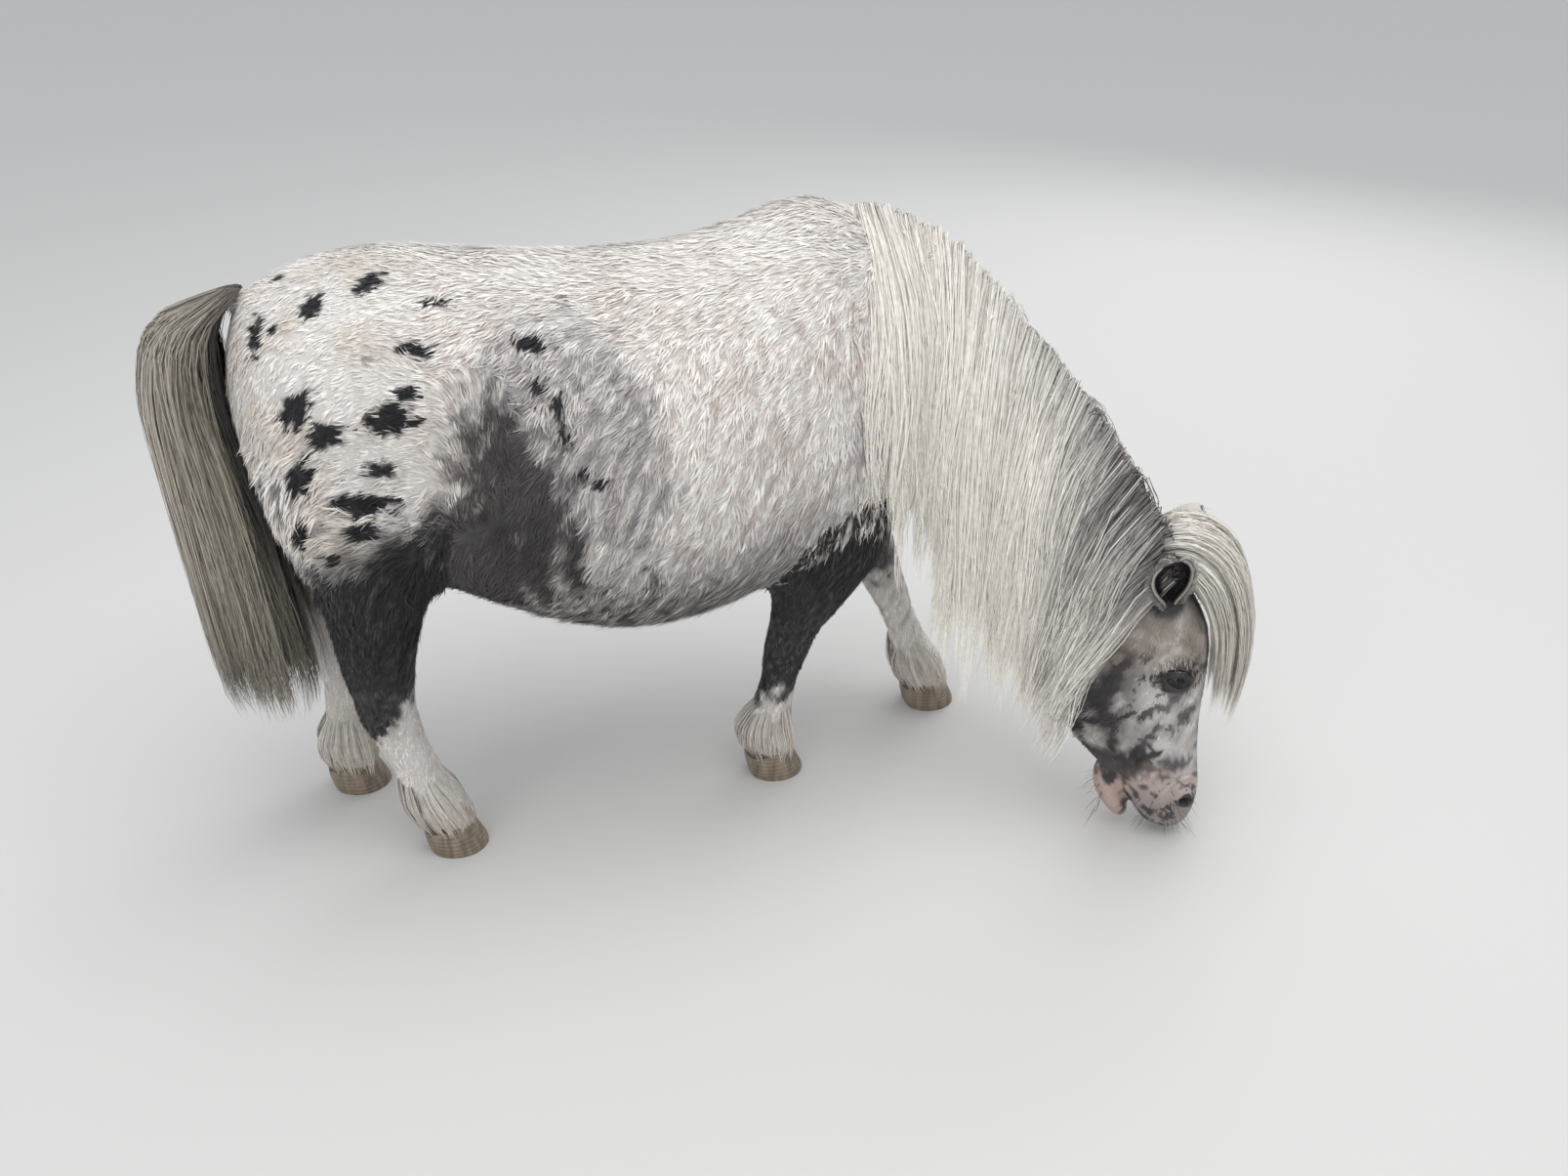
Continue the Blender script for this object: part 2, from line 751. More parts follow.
        return tinted(colours, Shade.PINK, 0.92 * chin * blend(88, 72, z + 8 * small))


@dataclass
class Loft:
    """A closed tube of flesh through one part's sections."""

    part: Part
    ring: Callable[[float, Points], Points]
    start: Points
    end: Points
    sides: int = 36
    rings: int = 40

    def sections(self) -> Points:
        """Works out every section's outline, closed in at both ends.

        Returns:
            An array of rings of places, in the pony's frame.
        """
        angles = np.linspace(0, TAU, self.sides, endpoint=False)
        rings = [self.ring(float(t), angles) for t in np.linspace(0, 1, self.rings)]
        first = self.start + (rings[0] - rings[0].mean(0)) * 0.08
        last = self.end + (rings[-1] - rings[-1].mean(0)) * 0.08
        return np.stack([first, *rings, last])

    def add_to(self, flesh: bmesh.types.BMesh) -> None:
        """Bridges circles set to the sections.

        Args:
            flesh: The mesh that receives the tube.
        """
        loops: list[list[bmesh.types.BMEdge]] = []
        for section in to_row(self.sections()):
            made = bmesh.ops.create_circle(flesh, segments=self.sides, radius=1.0)
            for vertex, place in zip(made["verts"], section):
                vertex.co = place
            loops.append(edges_of(made["verts"]))
        bridge(flesh, loops)


def neck_frames(places: Points) -> tuple[Points, ...]:
    """Reads the neck's centre line and its axes.

    Args:
        places: Places from 0 at the withers to 1 at the poll.

    Returns:
        Centres, directions along, up and to the right, and the reaches to crest, throat and side.
    """
    step = 0.02
    rows = stations_at(NECK, places)
    ahead = stations_at(NECK, np.minimum(places + step, 1))[:, :3]
    along = unit(ahead - stations_at(NECK, np.maximum(places - step, 0))[:, :3])
    up = unit(UPWARD - along * along[:, 2:])
    right = np.cross(along, up)
    return rows[:, :3], along, up, right, rows[:, 3:]


def torso_ring(t: float, angles: Points) -> Points:
    """Outlines a section of the torso.

    Args:
        t: Place from 0 at the rump to 1 at the chest.
        angles: Directions round the section, from its upper or front end.

    Returns:
        The outline's places, in the pony's frame.
    """
    power = 0.92
    spine_ridge, ridge_spread = 5, 0.02
    x, top, low, widest, half = stations_at(TORSO, np.array([t]))[0]
    high = np.cos(angles)
    height = np.where(high > 0, top - widest, widest - low)
    from_top = angles - np.where(angles > math.pi, TAU, 0)
    ridge = spine_ridge * np.exp(-(from_top**2) / ridge_spread)
    return np.stack((
        np.full_like(angles, x),
        half * rounded(np.sin(angles), power),
        widest + height * rounded(high, power) + ridge,
    ), -1)


def neck_ring(t: float, angles: Points) -> Points:
    """Outlines a section of the neck.

    Args:
        t: Place from 0 at the withers to 1 at the poll.
        angles: Directions round the section, from its upper or front end.

    Returns:
        The outline's places, in the pony's frame.
    """
    power = 0.95
    narrower_crest = 0.34
    centre, _, up, right, reaches = (values[0] for values in neck_frames(np.array([t])))
    crest, throat, half = reaches
    high = np.cos(angles)
    reach = np.where(high > 0, crest, throat) * rounded(high, power)
    width = half * (1 - narrower_crest * np.maximum(high, 0) ** 2) * rounded(np.sin(angles), power)
    return centre + up * reach[:, None] + right * width[:, None]


def skull_ring(t: float, angles: Points) -> Points:
    """Outlines a section of the head.

    Args:
        t: Place from 0 at the muzzle to 1 at the poll.
        angles: Directions round the section, from its upper or front end.

    Returns:
        The outline's places, in the pony's frame.
    """
    z, front, back, half_front, half_back = stations_at(HEAD, np.array([t]))[0]
    share = (1 - np.cos(angles)) / 2
    half = half_front + (half_back - half_front) * share
    forward = (front + back) / 2 + (front - back) / 2 * rounded(np.cos(angles), 0.9)
    aside = half * rounded(np.sin(angles), 0.82)
    return from_head(np.stack((forward, aside, np.full_like(half, z)), -1))


def lip_ring(t: float, angles: Points) -> Points:
    """Outlines a section of the lower lip.

    Args:
        t: Place from 0 at the chin groove to 1 at the lip's edge.
        angles: Directions round the section, from its upper or front end.

    Returns:
        The outline's places, in the pony's frame.
    """
    x, z, depth, half = stations_at(LOWER_LIP, np.array([t]))[0]
    ahead = depth * np.cos(angles)
    return from_head(np.stack((x + ahead, half * np.sin(angles), z + 0.25 * ahead), -1))


def level_ring(rows: Points, t: float, angles: Points) -> Points:
    """Outlines a level section of a leg or of the dock.

    Args:
        rows: Its table of sections.
        t: Place from 0 at the body to 1 at the far end.
        angles: Directions round the section, from its upper or front end.

    Returns:
        The outline's places, in the pony's frame.
    """
    x, y, z, forward, back, half = stations_at(rows, np.array([t]))[0]
    along = np.cos(angles)
    reach = np.where(along > 0, forward, back) * along
    return np.stack((x + reach, y + half * np.sin(angles), np.full_like(reach, z)), -1)


def read_all(rows: bpy.types.bpy_prop_collection, key: str, width: int, kind: type = float) -> Points:
    """Reads one value of every row of a mesh.

    Args:
        rows: The rows, such as its vertices.
        key: The value's name.
        width: How many numbers the value has.
        kind: Their type.

    Returns:
        One line for each row.
    """
    values = np.empty(len(rows) * width, kind)
    rows.foreach_get(key, values)
    return values.reshape(-1, width)


def mesh_points(mesh: bpy.types.Mesh) -> Points:
    """Reads a mesh's vertices."""
    return read_all(mesh.vertices, "co", 3)


def mesh_normals(mesh: bpy.types.Mesh) -> Points:
    """Reads a mesh's vertex normals."""
    return read_all(mesh.vertex_normals, "vector", 3, np.float32).astype(float)


def mesh_edges(mesh: bpy.types.Mesh) -> Points:
    """Reads a mesh's edges as pairs of vertices."""
    return read_all(mesh.edges, "vertices", 2, np.int32)


def set_points(mesh: bpy.types.Mesh, places: Points) -> None:
    """Moves a mesh's vertices to an array of places."""
    mesh.vertices.foreach_set("co", places.ravel())
    mesh.update()


def mesh_of(shape: bmesh.types.BMesh, name: str) -> bpy.types.Mesh:
    """Turns a shape into a mesh.

    Args:
        shape: The shape, which is used up.
        name: The mesh's name.

    Returns:
        The mesh.
    """
    mesh = bpy.data.meshes.new(name)
    shape.to_mesh(mesh)
    shape.free()
    return mesh


def edges_of(vertices: list[bmesh.types.BMVert]) -> list[bmesh.types.BMEdge]:
    """Lists the edges that meet some vertices."""
    return list({edge for vertex in vertices for edge in vertex.link_edges})


def bridge(shape: bmesh.types.BMesh, loops: list[list[bmesh.types.BMEdge]]) -> None:
    """Joins a row of loops to a tube and closes both of its ends.

    Args:
        shape: The shape that holds them.
        loops: The edges of each loop, in order.
    """
    for lower, upper in zip(loops, loops[1:]):
        bmesh.ops.bridge_loops(shape, edges=lower + upper)
    for loop in (loops[0], loops[-1]):
        bmesh.ops.contextual_create(shape, geom=loop)


def relaxed(places: Points, edges: Points, weights: Points, rounds: int) -> Points:
    """Smooths a surface by moving each vertex towards its neighbours.

    Args:
        places: The vertices.
        edges: Pairs of vertices.
        weights: How much each vertex gives way, from 0 to 1.
        rounds: How many times it is done.

    Returns:
        The smoothed vertices.
    """
    a, b = edges.T
    count = np.maximum(np.bincount(edges.ravel(), minlength=len(places)), 1)
    for _ in range(rounds):
        total = np.empty_like(places)
        for k in range(3):
            total[:, k] = np.bincount(a, places[b, k], len(places))
            total[:, k] += np.bincount(b, places[a, k], len(places))
        places = places + 0.5 * weights[:, None] * (total / count[:, None] - places)
    return places


def with_modifier(mesh: bpy.types.Mesh, kind: str, **settings: object) -> bpy.types.Mesh:
    """Applies one modifier to a mesh.

    Args:
        mesh: The mesh, which is used up.
        kind: The modifier's type.
        **settings: The modifier's values.

    Returns:
        The new mesh.
    """
    carrier = bpy.data.objects.new("carrier", mesh)
    bpy.context.scene.collection.objects.link(carrier)
    modifier = carrier.modifiers.new(kind, kind)
    for key, value in settings.items():
        setattr(modifier, key, value)
    graph = bpy.context.evaluated_depsgraph_get()
    made = bpy.data.meshes.new_from_object(carrier.evaluated_get(graph))
    bpy.data.objects.remove(carrier)
    bpy.data.meshes.remove(mesh)
    return made


def new_piece(name: str, mesh: bpy.types.Mesh, slot: str) -> bpy.types.Object:
    """Links a finished mesh as a piece of the model.

    Args:
        name: The piece's name.
        mesh: Its mesh, already in place.
        slot: The record's material slot it takes its finish from.

    Returns:
        The object.
    """
    piece = bpy.data.objects.new(name, mesh)
    mesh.name = name
    bpy.context.scene.collection.objects.link(piece)
    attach(piece, "root")
    return piece


@dataclass(frozen=True)
class CoatZone:
    """How hair grows on one part: tufts a square centimetre, sizes in millimetres and lift.

    The depth is how far the skin lies below the outline of the sections.
    """

    density: float
    length: float
    width: float
    lift: float
    depth: float


ZONES = {
    Part.TORSO: CoatZone(density=10.5, length=25, width=2.3, lift=0.12, depth=5.5),
    Part.NECK: CoatZone(density=6.0, length=28, width=2.8, lift=0.15, depth=6.0),
    Part.HEAD: CoatZone(density=14.0, length=9, width=1.5, lift=0.15, depth=1.2),
    Part.DOCK: CoatZone(density=2.0, length=24, width=3.0, lift=0.2, depth=6.0),
    **{part: CoatZone(density=9.5, length=17, width=2.1, lift=0.13, depth=3.0) for part in LEG_PARTS},
}


@dataclass(frozen=True)
class Bulb:
    """A swelling of the head: its middle on the left side, its half-sizes and how far it leans."""

    middle: tuple[float, float, float]
    radii: tuple[float, float, float]
    tilt: float = 0.0


BROW = Bulb((-26, 62, 290), (36, 24, 32))
JOWL = Bulb((-112, 46, 252), (58, 23, 66), 0.2)
NOSTRIL_WING = Bulb((12, 33, 66), (20, 14, 24), -0.35)
CHEEKBONE = Bulb((-46, 47, 214), (13, 8, 46), 0.15)


@dataclass
class Skin:
    """The pony's flesh as one smooth surface, with its lids, nostrils and lips."""

    markings: Markings
    body_voxel: float = 8.0
    voxel: float = 3.1
    most_triangles: int = 168_000
    lofts: list[Loft] = field(default_factory=list)
    tree: KDTree = field(init=False)
    cloud_parts: Points = field(init=False)

    def body_lofts(self) -> list[Loft]:
        """Lists the tubes that are smoothed into each other.

        Returns:
            Torso, neck, legs and dock.
        """
        rump = np.array((TORSO[0, 0] - 8, 0, TORSO[0, 3]))
        chest = np.array((TORSO[-1, 0] + 8, 0, TORSO[-1, 3]))
        withers, poll = NECK[0, :3] - (5, 0, 0), NECK[-1, :3] + (3, -3, -4)
        made = [
            Loft(Part.TORSO, torso_ring, rump, chest, sides=56, rings=60),
            Loft(Part.NECK, neck_ring, withers, poll, sides=40, rings=36),
        ]
        for part, rows in LEGS.items():
            top, bottom = rows[0, :3] + (0, 0, 30), rows[-1, :3] - (0, 0, 10)
            made.append(Loft(part, partial(level_ring, rows), top, bottom, sides=28, rings=44))
        dock = TAIL[:5] * (1, 1, 1, 0.55, 0.55, 0.5)
        top, bottom = dock[0, :3] + (0, 0, 4), dock[-1, :3] - (0, 0, 14)
        made.append(Loft(Part.DOCK, partial(level_ring, dock), top, bottom, sides=20, rings=24))
        return made

    def head_lofts(self) -> list[Loft]:
        """Lists the head's tubes.

        Returns:
            Skull with muzzle, and the lower lip.
        """
        muzzle, poll = from_head((-4, 0, -6)), from_head((-64, 0, 415))
        groove, edge = from_head((-72, 0, 120)), from_head((-62, 0, -1))
        return [
            Loft(Part.HEAD, skull_ring, muzzle, poll, sides=48, rings=70),
            Loft(Part.HEAD, lip_ring, groove, edge, sides=28, rings=24),
        ]

    def add_bulb(self, flesh: bmesh.types.BMesh, bulb: Bulb, side: int) -> None:
        """Adds a rounded swelling to the head.

        Args:
            flesh: The mesh that receives it.
            bulb: The swelling.
            side: -1 for the right side of the head, 1 for the left.
        """
        made = bmesh.ops.create_uvsphere(flesh, u_segments=28, v_segments=18, radius=1.0)
        middle = np.array(bulb.middle) * (1, side, 1)
        cos, sin = math.cos(bulb.tilt), math.sin(bulb.tilt)
        for vertex in made["verts"]:
            x, y, z = np.array(vertex.co) * bulb.radii
            turned = (x * cos + z * sin, y, z * cos - x * sin)
            vertex.co = to_row(from_head(np.array(turned) + middle))

    def fused_body(self) -> bpy.types.Mesh:
        """Fuses the body's tubes and smooths where they meet.

        Returns:
            The body's mesh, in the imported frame.
        """
        flesh = bmesh.new()
        for loft in self.lofts:
            if loft.part is not Part.HEAD:
                loft.add_to(flesh)
        mesh = mesh_of(flesh, "body")
        mesh = with_modifier(mesh, "REMESH", mode="VOXEL", voxel_size=self.body_voxel * MM)
        places = mesh_points(mesh)
        height = from_row(places)[:, 2]
        weights = 0.12 + 0.88 * blend(230, 430, height)
        set_points(mesh, relaxed(places, mesh_edges(mesh), weights, 22))
        return mesh

    def build(self) -> bpy.types.Object:
        """Builds the whole skin.

        Returns:
            The skin's object.
        """
        self.lofts = [*self.body_lofts(), *self.head_lofts()]
        body = self.fused_body()
        flesh = bmesh.new()
        flesh.from_mesh(body)
        for loft in self.lofts:
            if loft.part is Part.HEAD:
                loft.add_to(flesh)
        for side in (-1, 1):
            for bulb in (BROW, JOWL, NOSTRIL_WING, CHEEKBONE):
                self.add_bulb(flesh, bulb, side)
        mesh = mesh_of(flesh, "flesh")
        bpy.data.meshes.remove(body)
        mesh = with_modifier(mesh, "REMESH", mode="VOXEL", voxel_size=self.voxel * MM)
        places = relaxed(mesh_points(mesh), mesh_edges(mesh), np.full(len(mesh.vertices), 0.7), 5)
        set_points(mesh, places)
        self.find_parts()
        parts = self.parts_of(from_row(places))
        depths = np.array([ZONES[part].depth for part in Part])[parts] * MM
        set_points(mesh, places - mesh_normals(mesh) * depths[:, None])
        ratio = min(1.0, self.most_triangles / (2 * len(mesh.polygons)))
        mesh = with_modifier(mesh, "DECIMATE", ratio=ratio)
        mesh = self.face_detail(mesh)
        mesh.shade_smooth()
        self.colour(mesh)
        piece = new_piece("skin", mesh, "body_coat")
        flesh_nodes = ("torso", "neck", "head", "fore_leg_right", "fore_leg_left", "hind_leg_right",
                       "hind_leg_left")
        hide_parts(*flesh_nodes)
        return piece

    def face_detail(self, mesh: bpy.types.Mesh) -> bpy.types.Mesh:
        """Refines the mesh round the eyes, nostrils and lips, and shapes them.

        Args:
            mesh: The decimated skin.

        Returns:
            The same mesh with its details.
        """
        finest, fold_width = 2.0, 8.5
        fine = bmesh.new()
        fine.from_mesh(mesh)
        for _ in range(2):
            fine.edges.ensure_lookup_table()
            middles = np.array([(edge.verts[0].co + edge.verts[1].co) / 2 for edge in fine.edges])
            lengths = np.array([edge.calc_length() for edge in fine.edges]) / MM
            place = to_head(from_row(middles))
            side = np.abs(place[:, 1])
            eye = (reach_from(place, EYE_PLACE) < 30) & (side > 40)
            nose = (reach_from(place, NOSTRIL_PLACE) < 44) & (side > 12)
            wanted = np.where((eye | nose) & (side < 110) & (lengths > finest))[0]
            edges = [fine.edges[i] for i in wanted]
            bmesh.ops.subdivide_edges(fine, edges=edges, cuts=1, use_grid_fill=True)
        bmesh.ops.triangulate(fine, faces=fine.faces[:])
        fine.to_mesh(mesh)
        fine.free()
        points = to_head(from_row(mesh_points(mesh)))
        normals = mesh_normals(mesh)
        for side in (-1, 1):
            points = self.shaped_eye(points, side)
        away = np.abs(points[:, 1])
        ahead, above = (points[:, k] - NOSTRIL_PLACE[k] for k in (0, 2))
        hollow = np.hypot((ahead + 0.5 * above) / 10, (above - 0.2 * ahead) / 7.5)
        beside = blend(18, 28, away)
        push = 9 * blend(1.0, 0.45, hollow) * beside - 2.2 * np.exp(-((hollow - 1.3) ** 2) / 0.08) * beside
        reach = np.hypot(ahead, above)
        folds = np.sin(reach * TAU / fold_width + 0.6) * blend(14, 20, reach)
        folds = folds * blend(52, 30, reach) * blend(-5, 10, above)
        push = push + 0.9 * folds * beside
        set_points(mesh, to_row(from_head(points)) - normals * (push * MM)[:, None])
        return mesh

    def shaped_eye(self, points: Points, side: int) -> Points:
        """Opens the lids of one eye and rolls their edges.

        Args:
            points: The skin's vertices in the head's frame.
            side: -1 for the right eye, 1 for the left.

        Returns:
            The vertices with that eye's lids shaped.
        """
        middle = EYE_PLACE * (1, side, 1)
        outward = unit(EYE_WAY * (1, side, 1))
        long = unit(np.array((1.0, 0.0, -0.22)) - outward * outward[0])
        across = np.cross(outward, long) * side
        across = across * np.sign(across[2])
        away = points - middle
        radius = np.linalg.norm(away, axis=1)
        near = np.where((radius < 40) & (away @ outward > 0))[0]
        ways = unit(away[near])
        u = ways @ long * EYE_RADIUS
        v = ways @ across * EYE_RADIUS
        half = np.where(v > 0, UPPER_LID, LOWER_LID)
        rim = half * np.maximum(1 - (u / LID_HALF_LENGTH) ** 2, 0.0) ** LID_CURVE
        beyond = np.hypot(np.abs(u) - LID_HALF_LENGTH, v)
        outside = np.where(np.abs(u) < LID_HALF_LENGTH, np.abs(v) - rim, beyond)
        inside = blend(0.6, -1.0, outside)
        edge = 2.6 * np.exp(-((outside - 2.4) ** 2) / 6)
        crease = 1.6 * np.exp(-((outside - 8.5) ** 2) / 5) * (v > 0)
        lid = EYE_RADIUS + 1.2 + edge - crease
        target = lid * (1 - inside) + (EYE_RADIUS - 4) * inside
        hold = blend(17, 8, outside)
        reach = radius[near] * (1 - hold) + target * hold
        points = points.copy()
        points[near] = middle + ways * reach[:, None]
        return points

    def find_parts(self) -> None:
        """Fills the search tree that tells which part a place belongs to."""
        clouds = [loft.sections().reshape(-1, 3) for loft in self.lofts]
        self.cloud_parts = np.concatenate([
            np.full(len(cloud), loft.part) for loft, cloud in zip(self.lofts, clouds)
        ])
        cloud = np.concatenate(clouds)
        self.tree = KDTree(len(cloud))
        for i, place in enumerate(cloud):
            self.tree.insert(place, i)
        self.tree.balance()

    def parts_of(self, points: Points) -> Points:
        """Gives the value of the Part that each place in the pony's frame belongs to."""
        return self.cloud_parts[[self.tree.find(place)[1] for place in points]]

    def colour(self, mesh: bpy.types.Mesh) -> None:
        """Writes the markings to the skin's colour attribute.

        Args:
            mesh: The skin's mesh.
        """
        darker_than_hair = 0.8
        points = from_row(mesh_points(mesh))
        colours = self.markings.colour(points, self.parts_of(points))
        write_colours(mesh, colours * darker_than_hair)


def write_colours(mesh: bpy.types.Mesh, colours: Points) -> None:
    """Stores one colour a vertex.

    Args:
        mesh: The mesh.
        colours: Linear colours, one for each vertex.
    """
    layer = mesh.color_attributes.new("Colour", "FLOAT_COLOR", "POINT")
    values = np.concatenate((np.clip(colours, 0, 1), np.ones((len(colours), 1))), 1)
    layer.data.foreach_set("color", values.astype(np.float32).ravel())


def bake_places(points: Points, parts: Points) -> Points:
    """Unrolls places on the animal, each part in a square of its own.

    Args:
        points: Places in the pony's frame.
        parts: The value of each place's Part.

    Returns:
        Two coordinates from 0 to 1 for each place.
    """
    spots = np.zeros((len(points), 2))
    for part in Part:
        mine = parts == part
        here = points[mine]
        if part is Part.TORSO:
            along, angle = (here[:, 0] + 500) / 1000, np.arctan2(here[:, 1], here[:, 2] - 590)
        elif part is Part.NECK:
            line = NECK[-1, :3] - NECK[0, :3]
            along = (here - NECK[0, :3]) @ line / (line @ line) * 0.6 + 0.2
            angle = np.arctan2(here[:, 1] - np.interp(along, (0.2, 0.8), (0, -291)), here[:, 2] - 560)
        elif part is Part.HEAD:
            local = to_head(here)
            along, angle = (local[:, 2] + 20) / 460, np.arctan2(local[:, 1], local[:, 0] + 70)
        elif part is Part.DOCK:
            along, angle = (here[:, 2] - 150) / 700, np.arctan2(here[:, 1], here[:, 0] + 520)
        else:
            ahead, left = leg_place(part, here).T
            along, angle = here[:, 2] / 740, np.arctan2(left, ahead)
        column, row = part % 3, part // 3
        spots[mine, 0] = (column + 0.04 + 0.92 * np.clip(along, 0, 1)) / 3
        spots[mine, 1] = (row + 0.04 + 0.92 * (angle / TAU + 0.5)) / 3
    return spots


def roots_on(part: Part, points: Points) -> Points:
    """Gives the bake places of roots that all stand on one part."""
    return bake_places(points, np.full(len(points), part))


@dataclass
class Hairs:
    """Many tapered ribbons of hair with the same number of points each."""

    centres: Points
    sides: Points
    normals: Points
    colours: Points
    roots: Points

    def piece(self, name: str, slot: str, material: bpy.types.Material) -> bpy.types.Object:
        """Joins the ribbons to one mesh.

        Args:
            name: The piece's name.
            slot: The record's material slot.
            material: Its finish.

        Returns:
            The piece.
        """
        count, steps = self.centres.shape[:2]
        facing = np.cross(self.sides[:, 1], self.centres[:, 2] - self.centres[:, 0])
        self.sides = self.sides * np.where((facing * self.normals[:, 1]).sum(1) < 0, -1.0, 1.0)[:, None, None]
        middles, halves = self.centres[:, :-1], self.sides[:, :-1]
        body = np.stack((middles - halves, middles + halves), 2)
        places = np.concatenate((body.reshape(count, -1, 3), self.centres[:, -1:]), 1)
        per = 2 * steps - 1
        quads = [(2 * k, 2 * k + 1, 2 * k + 3, 2 * k + 2) for k in range(steps - 2)]
        tip = (2 * steps - 4, 2 * steps - 3, 2 * steps - 2)
        corners = np.array([corner for face in (*quads, tip) for corner in face])
        starts = np.array([4 * k for k in range(steps - 1)])
        loops = (np.arange(count)[:, None] * per + corners).ravel()
        first = (np.arange(count)[:, None] * len(corners) + starts).ravel()
        mesh = bpy.data.meshes.new(name)
        mesh.vertices.add(count * per)
        mesh.loops.add(len(loops))
        mesh.polygons.add(len(first))
        mesh.vertices.foreach_set("co", to_row(places).ravel())
        mesh.loops.foreach_set("vertex_index", loops.astype(np.int32))
        mesh.polygons.foreach_set("loop_start", first.astype(np.int32))
        mesh.update(calc_edges=True)
        step_of = np.append(np.repeat(np.arange(steps - 1), 2), steps - 1)
        write_colours(mesh, self.colours[:, step_of].reshape(-1, 3))
        along = mesh.attributes.new("Along", "FLOAT", "POINT")
        along.data.foreach_set("value", np.tile(step_of / (steps - 1), count).astype(np.float32))
        patch = 0.003
        lean = np.append(np.tile((-0.5, 0.5), steps - 1), 0.0) * patch
        offset = np.stack((lean, (step_of / (steps - 1) - 0.5) * patch), -1)
        spots = (self.roots[:, None] + offset).reshape(-1, 2)
        layer = mesh.uv_layers.new(name="OFBake")
        layer.data.foreach_set("uv", np.clip(spots[loops], 0, 1).astype(np.float32).ravel())
        mesh.shade_smooth()
        mesh.normals_split_custom_set_from_vertices(unit(self.normals[:, step_of].reshape(-1, 3)))
        mesh.materials.append(material)
        return new_piece(name, mesh, slot)


